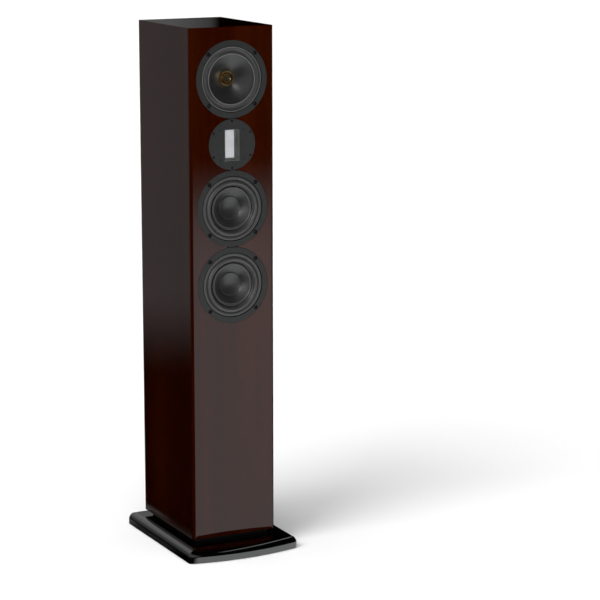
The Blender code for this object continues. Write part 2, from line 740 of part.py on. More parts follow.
def main():
    clear_scene()
    veneer = material("dark_mahogany_veneer", (0.10, 0.022, 0.012), roughness=0.12, coat=1.0)
    board = material("fibreboard", (0.36, 0.24, 0.14), roughness=0.85)
    stained = material("black_stained_board", (0.012, 0.012, 0.012), roughness=0.7)
    lacquer = material("black_gloss_lacquer", (0.006, 0.006, 0.007), roughness=0.06, coat=1.0)
    finishes = {
        "alloy": material("grey_cast_alloy", (0.075, 0.08, 0.078), metallic=0.3, roughness=0.5),
        "rubber": material("surround_rubber", (0.055, 0.055, 0.055), roughness=0.55),
        "cone": material("graphite_cone", (0.05, 0.05, 0.052), roughness=0.4),
        "former": material("coil_former", (0.62, 0.42, 0.16), metallic=0.8, roughness=0.3),
        "cloth": material("spider_cloth", (0.45, 0.33, 0.12), roughness=0.9),
        "steel": material("plated_steel", (0.45, 0.44, 0.42), metallic=1.0, roughness=0.4),
        "ferrite": material("ferrite", (0.04, 0.04, 0.045), roughness=0.6),
        "brass": material("polished_brass", (0.78, 0.58, 0.26), metallic=1.0, roughness=0.15),
        "mesh": material("black_mesh", (0.02, 0.02, 0.02), metallic=0.6, roughness=0.5),
        "foil": material("ribbon_foil", (0.9, 0.9, 0.92), metallic=0.9, roughness=0.3),
        "plastic": material("black_plastic", (0.02, 0.02, 0.02), roughness=0.5),
        "gold": material("gold_plate", (0.9, 0.68, 0.25), metallic=1.0, roughness=0.2),
        "knob_red": material("red_knob", (0.5, 0.02, 0.02), roughness=0.35),
        "knob_black": material("black_knob", (0.02, 0.02, 0.02), roughness=0.35),
        "circuit": material("circuit_board", (0.02, 0.12, 0.04), roughness=0.6),
    }
    pads = material("pad_rubber", (0.03, 0.03, 0.03), roughness=0.9)
    bolts = material("bolt_steel", (0.12, 0.12, 0.13), metallic=1.0, roughness=0.4)
    build_cabinet(veneer, board)
    build_plinth(lacquer, stained, pads, bolts)
    build_cone_driver("mid", MID_HEIGHT, MID, finishes)
    build_cone_driver("upper_woofer", UPPER_WOOFER_HEIGHT, WOOFER, finishes)
    build_cone_driver("lower_woofer", LOWER_WOOFER_HEIGHT, WOOFER, finishes)
    build_tweeter(finishes)
    build_rear(finishes)


main()
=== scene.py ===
"""Looks for the floorstanding loudspeaker: fine visible pieces, materials, studio and camera around the CAD frame."""

import json
import math

import bmesh
import bpy
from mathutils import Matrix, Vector

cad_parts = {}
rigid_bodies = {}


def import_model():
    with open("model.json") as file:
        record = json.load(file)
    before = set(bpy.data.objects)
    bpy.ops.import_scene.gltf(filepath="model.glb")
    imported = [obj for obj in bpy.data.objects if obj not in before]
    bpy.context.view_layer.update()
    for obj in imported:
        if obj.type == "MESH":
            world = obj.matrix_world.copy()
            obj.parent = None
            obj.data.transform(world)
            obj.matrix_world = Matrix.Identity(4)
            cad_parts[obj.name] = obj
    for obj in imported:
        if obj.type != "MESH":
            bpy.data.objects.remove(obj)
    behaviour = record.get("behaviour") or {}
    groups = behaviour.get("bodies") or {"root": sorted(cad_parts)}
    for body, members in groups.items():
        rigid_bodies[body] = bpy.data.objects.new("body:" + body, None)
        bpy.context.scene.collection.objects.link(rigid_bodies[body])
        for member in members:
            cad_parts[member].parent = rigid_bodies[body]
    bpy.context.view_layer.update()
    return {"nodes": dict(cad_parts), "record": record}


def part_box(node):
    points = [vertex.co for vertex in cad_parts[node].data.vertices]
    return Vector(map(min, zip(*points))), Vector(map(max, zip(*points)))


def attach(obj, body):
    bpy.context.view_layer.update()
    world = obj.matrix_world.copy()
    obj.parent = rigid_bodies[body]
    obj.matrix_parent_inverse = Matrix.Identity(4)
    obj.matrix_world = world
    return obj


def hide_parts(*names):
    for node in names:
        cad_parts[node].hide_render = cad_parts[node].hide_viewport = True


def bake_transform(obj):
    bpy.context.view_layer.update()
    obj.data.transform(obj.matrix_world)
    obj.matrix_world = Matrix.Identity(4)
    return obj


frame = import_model()

MM = 0.001
FINE = 160  # sides of the large visible turned pieces
MEDIUM = 64

CABINET_LOW, CABINET_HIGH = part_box("veneer_skin")
FACE = CABINET_LOW.y  # y of the cabinet's front face
BACK = CABINET_HIGH.y
PLINTH_LOW, PLINTH_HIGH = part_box("plinth")


def middle(node):
    low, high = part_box(node)
    return (low + high) / 2


DRIVERS = ("mid", "upper_woofer", "lower_woofer")
CONE_FLANGE = 87.75
TWEETER_FLANGE = 58.0
SCREW_CIRCLE = 81.2
TWEETER_SCREW_CIRCLE = 53.0
FRONT_EDGE = 8.0  # rounding of the cabinet's upright edges
REAR_EDGE = 2.0


# ---------------------------------------------------------------- material building

def start_material(name, colour, roughness, metallic=0.0, specular=0.5, ior=1.5):
    made = bpy.data.materials.new(name)
    made.use_nodes = True
    shader = made.node_tree.nodes["Principled BSDF"]
    shader.inputs["Base Color"].default_value = (*colour, 1.0)
    shader.inputs["Roughness"].default_value = roughness
    shader.inputs["Metallic"].default_value = metallic
    shader.inputs["Specular IOR Level"].default_value = specular
    shader.inputs["IOR"].default_value = ior
    return made, shader


def add_node(made, kind, **values):
    new = made.node_tree.nodes.new(kind)
    for key, value in values.items():
        if hasattr(new, key):
            setattr(new, key, value)
        else:
            new.inputs[key.replace("_", " ")].default_value = value
    return new


def join(made, source, target):
    made.node_tree.links.new(source, target)


def stretched_noise(made, stretch, scale, detail=4.0, rough=0.55, source=None):
    """Noise read from the object's own coordinates, stretched along each axis."""
    if source is None:
        source = add_node(made, "ShaderNodeTexCoord").outputs["Object"]
    mapping = add_node(made, "ShaderNodeMapping")
    mapping.inputs["Scale"].default_value = stretch
    join(made, source, mapping.inputs["Vector"])
    noise = add_node(made, "ShaderNodeTexNoise", Scale=scale, Detail=detail, Roughness=rough)
    join(made, mapping.outputs["Vector"], noise.inputs["Vector"])
    return noise.outputs["Fac"]


def ramp(made, source, stops):
    made_ramp = add_node(made, "ShaderNodeValToRGB")
    elements = made_ramp.color_ramp.elements
    while len(elements) < len(stops):
        elements.new(0.5)
    for element, (place, colour) in zip(elements, stops):
        element.position = place
        element.color = (*colour, 1.0)
    join(made, source, made_ramp.inputs["Fac"])
    return made_ramp.outputs["Color"]


def remap(made, source, low, high, from_low=0.25, from_high=0.75):
    made_range = add_node(made, "ShaderNodeMapRange")
    made_range.inputs["From Min"].default_value = from_low
    made_range.inputs["From Max"].default_value = from_high
    made_range.inputs["To Min"].default_value = low
    made_range.inputs["To Max"].default_value = high
    join(made, source, made_range.inputs["Value"])
    return made_range.outputs["Result"]


def mix_colours(made, factor, first, second, mode="MIX"):
    mixer = add_node(made, "ShaderNodeMix", data_type="RGBA", blend_type=mode)
    for socket, value in ((0, factor), (6, first), (7, second)):
        if hasattr(value, "is_linked"):
            join(made, value, mixer.inputs[socket])
        else:
            mixer.inputs[socket].default_value = value
    return mixer.outputs[2]


def bump(made, shader, height, strength, distance):
    made_bump = add_node(made, "ShaderNodeBump", Strength=strength, Distance=distance)
    join(made, height, made_bump.inputs["Height"])
    join(made, made_bump.outputs["Normal"], shader.inputs["Normal"])
    return made_bump


def grained(name, colour, roughness, grain, depth, metallic=0.0, vary=0.25, wear=0.15, specular=0.5):
    """Moulded, cast or sprayed surfaces: fine grain in the bump, slow drift in colour and gloss."""
    made, shader = start_material(name, colour, roughness, metallic, specular)
    slow = stretched_noise(made, (1, 1, 1), 22.0, 3.0)
    fine = stretched_noise(made, (1, 1, 1), grain, 5.0, 0.6)
    dark = tuple(value * (1 - vary) for value in colour)
    light = tuple(min(1.0, value * (1 + vary)) for value in colour)
    tint = ramp(made, slow, ((0.3, dark), (0.7, light)))
    speck = ramp(made, fine, ((0.35, (0.86, 0.86, 0.86)), (0.65, (1.0, 1.0, 1.0))))
    join(made, mix_colours(made, 1.0, tint, speck, "MULTIPLY"), shader.inputs["Base Color"])
    join(made, remap(made, slow, roughness * (1 - wear), roughness * (1 + wear)), shader.inputs["Roughness"])
    bump(made, shader, fine, 0.35, depth)
    return made


def mahogany():
    """Dark red-brown veneer, grain upright on the walls and front to back on the top, under clear lacquer."""
    made, shader = start_material("mahogany_gloss", (0.03, 0.004, 0.0005), 0.42, specular=0.0)
    coordinates = add_node(made, "ShaderNodeTexCoord").outputs["Object"]
    parts = add_node(made, "ShaderNodeSeparateXYZ")
    join(made, coordinates, parts.inputs[0])
    lying = add_node(made, "ShaderNodeCombineXYZ")
    join(made, parts.outputs["X"], lying.inputs["X"])
    join(made, parts.outputs["Z"], lying.inputs["Y"])
    join(made, parts.outputs["Y"], lying.inputs["Z"])
    geometry = add_node(made, "ShaderNodeNewGeometry")
    facing = add_node(made, "ShaderNodeSeparateXYZ")
    join(made, geometry.outputs["True Normal"], facing.inputs[0])
    flat = add_node(made, "ShaderNodeMath", operation="GREATER_THAN")
    flat.inputs[1].default_value = 0.8
    join(made, facing.outputs["Z"], flat.inputs[0])
    chosen = add_node(made, "ShaderNodeMix", data_type="VECTOR")
    join(made, flat.outputs[0], chosen.inputs[0])
    join(made, coordinates, chosen.inputs[4])
    join(made, lying.outputs[0], chosen.inputs[5])
    source = chosen.outputs[1]
    broad = stretched_noise(made, (9.0, 9.0, 0.55), 1.0, 2.5, 0.5, source)
    stripes = stretched_noise(made, (46.0, 46.0, 0.8), 1.0, 4.0, 0.55, source)
    pores = stretched_noise(made, (820.0, 820.0, 16.0), 1.0, 3.0, 0.6, source)
    fleck = stretched_noise(made, (120.0, 120.0, 7.0), 1.0, 5.0, 0.7, source)
    body = ramp(
        made,
        broad,
        ((0.30, (0.0135, 0.0013, 0.0001)), (0.52, (0.0185, 0.0022, 0.0002)), (0.72, (0.0265, 0.0040, 0.0003))),
    )
    band = ramp(made, stripes, ((0.34, (0.72, 0.66, 0.6)), (0.62, (1.14, 1.16, 1.2))))
    tinted = mix_colours(made, 0.75, body, band, "MULTIPLY")
    streak = ramp(made, fleck, ((0.40, (0.80, 0.76, 0.72)), (0.60, (1.06, 1.06, 1.06))))
    tinted = mix_colours(made, 0.55, tinted, streak, "MULTIPLY")
    pore = ramp(made, pores, ((0.36, (0.55, 0.5, 0.45)), (0.50, (1.0, 1.0, 1.0))))
    join(made, mix_colours(made, 0.5, tinted, pore, "MULTIPLY"), shader.inputs["Base Color"])
    join(made, remap(made, fleck, 0.36, 0.5), shader.inputs["Roughness"])
    shader.inputs["Coat Weight"].default_value = 1.0
    shader.inputs["Coat Roughness"].default_value = 0.015
    shader.inputs["Coat IOR"].default_value = 1.5
    bump(made, shader, pores, 0.04, 0.0001)
    return made


def piano_black():
    """Gloss black lacquer with faint polishing haze and dust specks."""
    made, shader = start_material("black_lacquer_gloss", (0.002, 0.002, 0.002), 0.12, specular=0.5)
    haze = stretched_noise(made, (1, 1, 1), 26.0, 4.0)
    dust = stretched_noise(made, (1, 1, 1), 900.0, 2.0, 0.5)
    join(made, ramp(made, dust, ((0.70, (0.0016, 0.0016, 0.0017)), (0.80, (0.02, 0.02, 0.02)))), shader.inputs["Base Color"])
    join(made, remap(made, haze, 0.07, 0.15), shader.inputs["Roughness"])
    shader.inputs["Coat Weight"].default_value = 1.0
    shader.inputs["Coat Roughness"].default_value = 0.02
    shader.inputs["Coat IOR"].default_value = 1.75
    return made


def fibreboard(name, colour):
    made, shader = start_material(name, colour, 0.9)
    fibres = stretched_noise(made, (1, 1, 3), 260.0, 6.0, 0.7)
    dark = tuple(value * 0.75 for value in colour)
    light = tuple(min(1.0, value * 1.2) for value in colour)
    join(made, ramp(made, fibres, ((0.35, dark), (0.65, light))), shader.inputs["Base Color"])
    bump(made, shader, fibres, 0.4, 0.0002)
    return made


def spun_metal(name, colour, roughness, lines=900.0, depth=0.00003):
    """Turned metal: fine rings round the piece's own Y axis."""
    made, shader = start_material(name, colour, roughness, 1.0)
    coordinates = add_node(made, "ShaderNodeTexCoord").outputs["Object"]
    parts = add_node(made, "ShaderNodeSeparateXYZ")
    join(made, coordinates, parts.inputs[0])
    flat = add_node(made, "ShaderNodeCombineXYZ")
    join(made, parts.outputs["X"], flat.inputs["X"])
    join(made, parts.outputs["Z"], flat.inputs["Y"])
    reach = add_node(made, "ShaderNodeVectorMath", operation="LENGTH")
    join(made, flat.outputs[0], reach.inputs[0])
    along = add_node(made, "ShaderNodeCombineXYZ")
    join(made, reach.outputs["Value"], along.inputs["X"])
    join(made, parts.outputs["Y"], along.inputs["Y"])
    rings = stretched_noise(made, (1, 1, 1), lines, 3.0, 0.5, along.outputs[0])
    dull = stretched_noise(made, (1, 1, 1), 60.0, 3.0)
    join(made, remap(made, dull, roughness * 0.8, roughness * 1.3), shader.inputs["Roughness"])
    dark = tuple(value * 0.86 for value in colour)
    join(made, ramp(made, rings, ((0.4, dark), (0.6, colour))), shader.inputs["Base Color"])
    bump(made, shader, rings, 0.15, depth)
    return made


def woven_cloth(name, colour):
    made, shader = start_material(name, colour, 0.85)
    coordinates = add_node(made, "ShaderNodeTexCoord").outputs["Object"]
    across = add_node(made, "ShaderNodeTexWave", Scale=420.0, Distortion=0.6)
    join(made, coordinates, across.inputs["Vector"])
    upward = add_node(made, "ShaderNodeTexWave", bands_direction="Z", Scale=420.0, Distortion=0.6)
    join(made, coordinates, upward.inputs["Vector"])
    weave = mix_colours(made, 0.5, across.outputs["Color"], upward.outputs["Color"])
    dark = tuple(value * 0.6 for value in colour)
    join(made, ramp(made, weave, ((0.2, dark), (0.8, colour))), shader.inputs["Base Color"])
    bump(made, shader, weave, 0.5, 0.0002)
    return made


M = {
    "veneer": mahogany(),
    "fibreboard": fibreboard("fibreboard_raw", (0.30, 0.19, 0.10)),
    "black_lacquer": piano_black(),
    # Black board for the riser in the gap under the cabinet and for the panels seen through the slots and that gap:
    # painted shade.
    "riser_black": fibreboard("riser_black_stain", (0.008, 0.008, 0.008)),
    "pad_rubber": grained("pad_rubber_matt", (0.02, 0.02, 0.02), 0.85, 1500.0, 0.0001),
    "bolt_steel": spun_metal("bolt_black_oxide", (0.10, 0.10, 0.11), 0.38),
    "basket_alloy": grained("flange_satin_grey", (0.0250, 0.0270, 0.0255), 0.44, 2600.0, 0.00006, vary=0.06, wear=0.08),
    "surround_rubber": grained("surround_satin_rubber", (0.046, 0.046, 0.046), 0.40, 1800.0, 0.00003, vary=0.06, wear=0.10, specular=0.8),
    "cone": grained("cone_graphite_satin", (0.017, 0.017, 0.0175), 0.38, 1400.0, 0.00002, vary=0.08, wear=0.12, specular=1.0),
    "coil_former": spun_metal("coil_former_gilt", (1.0, 0.70, 0.27), 0.22),
    "spider_cloth": woven_cloth("spider_weave", (0.42, 0.29, 0.09)),
    "plated_steel": spun_metal("zinc_steel", (0.42, 0.41, 0.38), 0.42),
    "ferrite": grained("ferrite_sintered", (0.02, 0.02, 0.022), 0.6, 900.0, 0.0002),
    "brass": spun_metal("brass_polished", (0.80, 0.62, 0.33), 0.10, 1400.0, 0.00001),
    "black_mesh": grained("mesh_grey_wire", (0.42, 0.42, 0.42), 0.40, 1600.0, 0.00003),
    "ribbon_foil": grained("ribbon_foil_bright", (0.93, 0.94, 0.97), 0.36, 700.0, 0.00004, metallic=0.1, vary=0.02),
    "black_plastic": grained("black_moulded_plastic", (0.012, 0.012, 0.012), 0.42, 1300.0, 0.00012),
    "gold_plate": spun_metal("gold_plate_bright", (0.93, 0.70, 0.28), 0.16),
    "red_knob": grained("knob_red_plastic", (0.42, 0.012, 0.010), 0.26, 900.0, 0.00004, vary=0.1),
    "black_knob": grained("knob_black_plastic", (0.012, 0.012, 0.012), 0.26, 900.0, 0.00004, vary=0.1),
    "circuit_board": grained("circuit_board_green", (0.015, 0.10, 0.035), 0.5, 700.0, 0.0001),
}
# Lighter grey for the mid surround's rim and bead rings: a painted highlight, the same rubber shown brighter where it
# catches the light.
RIM_PAINTED_HIGHLIGHT = grained(
    "surround_rim_satin", (0.15, 0.15, 0.15), 0.36, 1800.0, 0.00002, vary=0.05, wear=0.08, specular=0.8
)
SCREW_METAL = spun_metal("screw_steel", (0.15, 0.15, 0.15), 0.42)
SCREW_BLACK = grained("screw_black_steel", (0.004, 0.004, 0.004), 0.5, 900.0, 0.00004, specular=0.3)
# Near-black matt for the screw counterbores and the surround grooves: painted shade in those recesses.
PAINTED_SHADE_BLACK = grained("trim_black_matt", (0.002, 0.002, 0.002), 0.75, 900.0, 0.00005, specular=0.15)


# ---------------------------------------------------------------- shape building

def even_shading(piece):
    """Leans each corner's normal towards its widest face, so that broad flat faces reflect straight."""
    modifier = piece.modifiers.new("even_shading", "WEIGHTED_NORMAL")
    modifier.keep_sharp = True
    modifier.weight = 85


def finish_piece(name, bm, slot, origin=(0, 0, 0), body="enclosure", replaces=(), finish=None, angle=35):
    bmesh.ops.recalc_face_normals(bm, faces=bm.faces)
    mesh = bpy.data.meshes.new(name)
    bm.to_mesh(mesh)
    bm.free()
    mesh.shade_smooth()
    mesh.set_sharp_from_angle(angle=math.radians(angle))
    mesh.materials.append(finish or M[slot])
    piece = bpy.data.objects.new(name, mesh)
    piece.location = origin
    bpy.context.scene.collection.objects.link(piece)
    even_shading(piece)
    if body:
        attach(piece, body)
    if replaces:
        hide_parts(*replaces)
    return piece


def rounded(points, steps=3):
    """Corners given as (radius, depth, fillet) become short curves."""
    smooth = []
    count = len(points)
    for index, point in enumerate(points):
        fillet = point[2] if len(point) > 2 else 0.0
        here = Vector(point[:2])
        if fillet == 0:
            smooth.append(tuple(here))
            continue
        before, after = Vector(points[index - 1][:2]), Vector(points[(index + 1) % count][:2])
        start = here + (before - here).normalized() * min(fillet, 0.45 * (before - here).length)
        end = here + (after - here).normalized() * min(fillet, 0.45 * (after - here).length)
        for step in range(steps + 1):
            share = step / steps
            first = start.lerp(here, share)
            smooth.append(tuple(first.lerp(here.lerp(end, share), share)))
    return smooth


def turned(profile, steps=FINE, sign=1, upright=False, shape=None):
    """Spins (radius, depth) points in millimetres about Y, or about Z when upright. shape changes a radius by angle."""
    bm = bmesh.new()
    rings = []
    for index, (radius, depth) in enumerate(profile):
        if radius <= 0:
            point = (0, 0, depth * MM) if upright else (0, sign * depth * MM, 0)
            rings.append([bm.verts.new(point)])
            continue
        ring = []
        for step in range(steps):
            angle = 2 * math.pi * step / steps
            reach = (shape(index, radius, angle) if shape else radius) * MM
            across, up = reach * math.cos(angle), reach * math.sin(angle)
            point = (across, up, depth * MM) if upright else (across, sign * depth * MM, up)
            ring.append(bm.verts.new(point))
        rings.append(ring)
    pairs = list(zip(rings, rings[1:]))
    if len(rings[0]) > 1:
        pairs.append((rings[-1], rings[0]))
    for first, second in pairs:
        for step in range(steps):
            after = (step + 1) % steps
            corners = (
                first[step % len(first)],
                first[after % len(first)],
                second[after % len(second)],
                second[step % len(second)],
            )
            bm.faces.new(list(dict.fromkeys(corners)))
    return bm


def add_box(bm, low, high):
    corners = [
        bm.verts.new((x * MM, y * MM, z * MM))
        for z in (low[2], high[2])
        for y in (low[1], high[1])
        for x in (low[0], high[0])
    ]
    faces = []
    for face in ((0, 2, 3, 1), (4, 5, 7, 6), (0, 1, 5, 4), (2, 6, 7, 3), (0, 4, 6, 2), (1, 3, 7, 5)):
        faces.append(bm.faces.new([corners[index] for index in face]))
    return faces


def add_rod(bm, centre, radius, low, high, steps=MEDIUM):
    """A closed rod along Y, centred on (x, z), all in millimetres."""
    ends = []
    for along in (low, high):
        ends.append(
            [
                bm.verts.new(
                    (
                        (centre[0] + radius * math.cos(2 * math.pi * (step + 0.5) / steps)) * MM,
                        along * MM,
                        (centre[1] + radius * math.sin(2 * math.pi * (step + 0.5) / steps)) * MM,
                    )
                )
                for step in range(steps)
            ]
        )
    bm.faces.new(ends[0])
    bm.faces.new(list(reversed(ends[1])))
    for step in range(steps):
        after = (step + 1) % steps
        bm.faces.new((ends[0][step], ends[0][after], ends[1][after], ends[1][step]))


def combine(piece, bm, operation="DIFFERENCE", angle=35):
    """Cuts or joins shapes given in the piece's own coordinates."""
    bmesh.ops.recalc_face_normals(bm, faces=bm.faces)
    mesh = bpy.data.meshes.new("helper")
    bm.to_mesh(mesh)
    bm.free()
    helper = bpy.data.objects.new("helper", mesh)
    helper.matrix_world = piece.matrix_world
    bpy.context.scene.collection.objects.link(helper)
    piece.modifiers.clear()
    modifier = piece.modifiers.new("combine", "BOOLEAN")
    modifier.operation = operation
    modifier.solver = "EXACT"
    modifier.object = helper
    bpy.context.view_layer.update()
    graph = bpy.context.evaluated_depsgraph_get()
    result = bpy.data.meshes.new_from_object(piece.evaluated_get(graph))
    piece.modifiers.remove(modifier)
    old = piece.data
    piece.data = result
    result.name = piece.name
    bpy.data.meshes.remove(old)
    bpy.data.objects.remove(helper, do_unlink=True)
    bpy.data.meshes.remove(mesh)
    piece.data.shade_smooth()
    piece.data.set_sharp_from_angle(angle=math.radians(angle))
    even_shading(piece)


def lerp(a, b, share):
    return a + (b - a) * share


# ---------------------------------------------------------------- cabinet and plinth

def add_prism(bm, half, front_y, back_y, low, high, front_round, rear_round, steps=12):
    """An upright box whose four vertical edges are rounded. Returns the face on top."""
    outline = []
    corners = ((1, 1, rear_round), (-1, 1, rear_round), (-1, -1, front_round), (1, -1, front_round))
    for index, (across, along, radius) in enumerate(corners):
        centre = Vector((across * (half - radius), (back_y if along > 0 else front_y) - along * radius))
        for step in range(steps + 1):
            angle = math.pi / 2 * (index + step / steps)
            outline.append((centre.x + radius * math.cos(angle), centre.y + radius * math.sin(angle)))
    rings = [[bm.verts.new((x * MM, y * MM, z * MM)) for x, y in outline] for z in (low, high)]
    bm.faces.new(list(reversed(rings[0])))
    for index in range(len(outline)):
        after = (index + 1) % len(outline)
        bm.faces.new((rings[0][index], rings[0][after], rings[1][after], rings[1][index]))
    return bm.faces.new(rings[1])


def build_veneer():
    """The wrapped veneer with its rounded edges, the flange recesses and the rear openings."""
    low, high = CABINET_LOW / MM, CABINET_HIGH / MM
    bm = bmesh.new()
    lid = add_prism(bm, high.x, low.y, high.y, low.z - 20, high.z, FRONT_EDGE, REAR_EDGE)
    bmesh.ops.bevel(bm, geom=list(lid.edges), offset=1.2 * MM, segments=4, profile=0.5, affect="EDGES")
    skin = finish_piece("cabinet_veneer", bm, "veneer", replaces=("veneer_skin",), angle=30)
    inner = bmesh.new()
    add_prism(inner, high.x - 1, low.y + 1, high.y - 1, low.z - 40, high.z - 1, FRONT_EDGE - 1, 0.2)
    combine(skin, inner)
    trim = bmesh.new()
    add_box(trim, (low.x - 5, low.y - 5, low.z - 60), (high.x + 5, high.y + 5, low.z))
    combine(skin, trim)
    holes = bmesh.new()
    centres = [middle(name + "_basket").z / MM for name in DRIVERS]
    tweeter = middle("tweeter_faceplate").z / MM
    for height in centres:
        add_rod(holes, (0, height), CONE_FLANGE + 0.3, low.y - 5, low.y + 1.15, FINE)
    add_rod(holes, (0, tweeter), TWEETER_FLANGE + 0.3, low.y - 5, low.y + 1.15, FINE)
    combine(skin, holes)
    slots = bmesh.new()
    joins = (
        (centres[0] - CONE_FLANGE + tweeter + TWEETER_FLANGE) / 2,
        (tweeter - TWEETER_FLANGE + centres[1] + CONE_FLANGE) / 2,
        (centres[1] - CONE_FLANGE + centres[2] + CONE_FLANGE) / 2,
    )
    for centre, half in zip(joins, (11.0, 11.0, 14.0)):
        add_box(slots, (-half, low.y - 5, centre - 1.2), (half, low.y + 1.15, centre + 1.2))
    port = middle("port_tube").z / MM
    add_rod(slots, (0, port), 42.2, high.y - 1.15, high.y + 5, MEDIUM)
    cup = middle("terminal_cup").z / MM
    add_box(slots, (-48.6, high.y - 1.15, cup - 53.6), (48.6, high.y + 5, cup + 53.6))
    combine(skin, slots, angle=30)


def plinth_ring(inset, corner_steps=10, front_steps=48):
    half = PLINTH_HIGH.x / MM
    depth = PLINTH_HIGH.y / MM
    bow, round_corner = 18.0, 12.0
    radius = (half**2 + bow**2) / (2 * bow)
    centre_y = -depth + radius
    corner = max(round_corner - inset, 0.5)
    corner_x = half - inset - corner
    front_y = centre_y - math.sqrt((radius - inset - corner) ** 2 - corner_x**2)
    back_y = depth - inset - corner
    sweep = math.atan2(corner_x, centre_y - front_y)
    points = []
    for step in range(front_steps + 1):
        angle = sweep * (2 * step / front_steps - 1)
        points.append(((radius - inset) * math.sin(angle), centre_y - (radius - inset) * math.cos(angle)))
    for step in range(1, corner_steps + 1):
        angle = sweep + (math.pi / 2 - sweep) * step / corner_steps
        points.append((corner_x + corner * math.sin(angle), front_y - corner * math.cos(angle)))
    for sign, start in ((1, 0), (-1, 1)):
        for step in range(corner_steps + 1):
            angle = (start + step / corner_steps) * math.pi / 2
            points.append((sign * corner_x + corner * math.cos(angle), back_y + corner * math.sin(angle)))
    for step in range(corner_steps):
        angle = math.pi / 2 + (math.pi / 2 - sweep) * step / corner_steps
        points.append((-corner_x - corner * math.sin(angle), front_y + corner * math.cos(angle)))
    return points


def build_plinth():
    low, high = PLINTH_LOW.z / MM, PLINTH_HIGH.z / MM
    round_over = 17.0
    levels = [(1.2, low), (0.35, low + 0.25), (0.0, low + 1.0)]
    for step in range(15):
        angle = math.pi / 2 * step / 14
        levels.append((round_over * (1 - math.cos(angle)), high - round_over * (1 - math.sin(angle))))
    levels.append((round_over + 2.0, high))
    bm = bmesh.new()
    rings = []
    for inset, height in levels:
        rings.append([bm.verts.new((x * MM, y * MM, height * MM)) for x, y in plinth_ring(inset)])
    for lower, upper in zip(rings, rings[1:]):
        for index in range(len(lower)):
            after = (index + 1) % len(lower)
            bm.faces.new((lower[index], lower[after], upper[after], upper[index]))
    bm.faces.new(list(reversed(rings[0])))
    bm.faces.new(rings[-1])
    board = finish_piece("plinth_board", bm, "black_lacquer", replaces=("plinth",), angle=30)
    holes = bmesh.new()
    for corner in ("front_left", "front_right", "rear_left", "rear_right"):
        for node, radius, top in (("floor_pad_", 16.3, 4.2), ("plinth_bolt_", 7.2, 10.3)):
            centre = middle(node + corner) / MM
            ends = []
            for height in (-5.0, top):
                ends.append(
                    [
                        holes.verts.new(
                            (
                                (centre.x + radius * math.cos(2 * math.pi * step / 40)) * MM,
                                (centre.y + radius * math.sin(2 * math.pi * step / 40)) * MM,
                                height * MM,
                            )
                        )
                        for step in range(40)
                    ]
                )
            holes.faces.new(list(reversed(ends[0])))
            holes.faces.new(ends[1])
            for step in range(40):
                after = (step + 1) % 40
                holes.faces.new((ends[0][step], ends[0][after], ends[1][after], ends[1][step]))
    combine(board, holes, angle=30)
    for corner in ("front_left", "front_right", "rear_left", "rear_right"):
        centre = middle("floor_pad_" + corner)
        profile = rounded([(0, 0), (15.0, 0, 0.8), (16.0, 1.0, 0.5), (16.0, 3.9, 0.4), (0, 3.9)])
        bm = turned(profile, MEDIUM, upright=True)
        finish_piece(
            "pad_" + corner, bm, "pad_rubber", (centre.x, centre.y, 0), replaces=("floor_pad_" + corner,)
        )


# ---------------------------------------------------------------- cone drivers

def arc(centre, across, level, rise, steps):
    points = []
    for step in range(steps + 1):
        angle = math.pi * step / steps
        points.append((centre + across * math.cos(angle), level - rise * math.sin(angle)))
    return points


BOWLS = {"woofer": [(68.5, 22.0), (67.5, 4.6)], "mid": [(69.0, 22.0), (72.3, 4.6)]}


def hexagon(index_limit, flat):
    """A radius rule: rings up to index_limit are hexagonal, the rest stay round."""

    def radius_at(index, radius, angle):
        if index >= index_limit:
            return radius
        local = (angle + math.pi / 6) % (math.pi / 3) - math.pi / 6
        return flat / math.cos(local)

    return radius_at


def add_turned(bm, profile, steps, centre, shape=None):
    """Adds a turned piece to a bmesh, moved to a centre in millimetres."""
    piece = turned(profile, steps, shape=shape)
    for vertex in piece.verts:
        vertex.co += Vector(centre) * MM
    mesh = bpy.data.meshes.new("scratch")
    piece.to_mesh(mesh)
    piece.free()
    bm.from_mesh(mesh)
    bpy.data.meshes.remove(mesh)


def socket_screw(bm, centre, head, depth, socket):
    """A cap screw whose hexagon socket faces out of the front."""
    profile = [
        (0, depth + 1.5),
        (socket, depth + 1.5),
        (socket, depth + 0.15),
        (socket + 0.15, depth),
        *rounded([(head - 0.9, depth), (head, depth, 0.5), (head, depth + 0.9)], 4)[1:],
        (head, depth + 2.1),
        (0, depth + 2.1),
    ]
    add_turned(bm, profile, 36, centre, hexagon(4, socket))


def painted_shade_lining(bm, centre, radius, floor):
    """A thin black cup that lines a screw's counterbore: painted shade in the recess."""
    inner, outer = radius - 0.45, radius - 0.05
    base = floor - 0.1
    profile = [(1.2, floor - 0.6), (inner, floor - 0.6), (inner, 0.1), (outer, 0.05), (outer, base), (1.2, base)]
    add_turned(bm, profile, 36, centre)


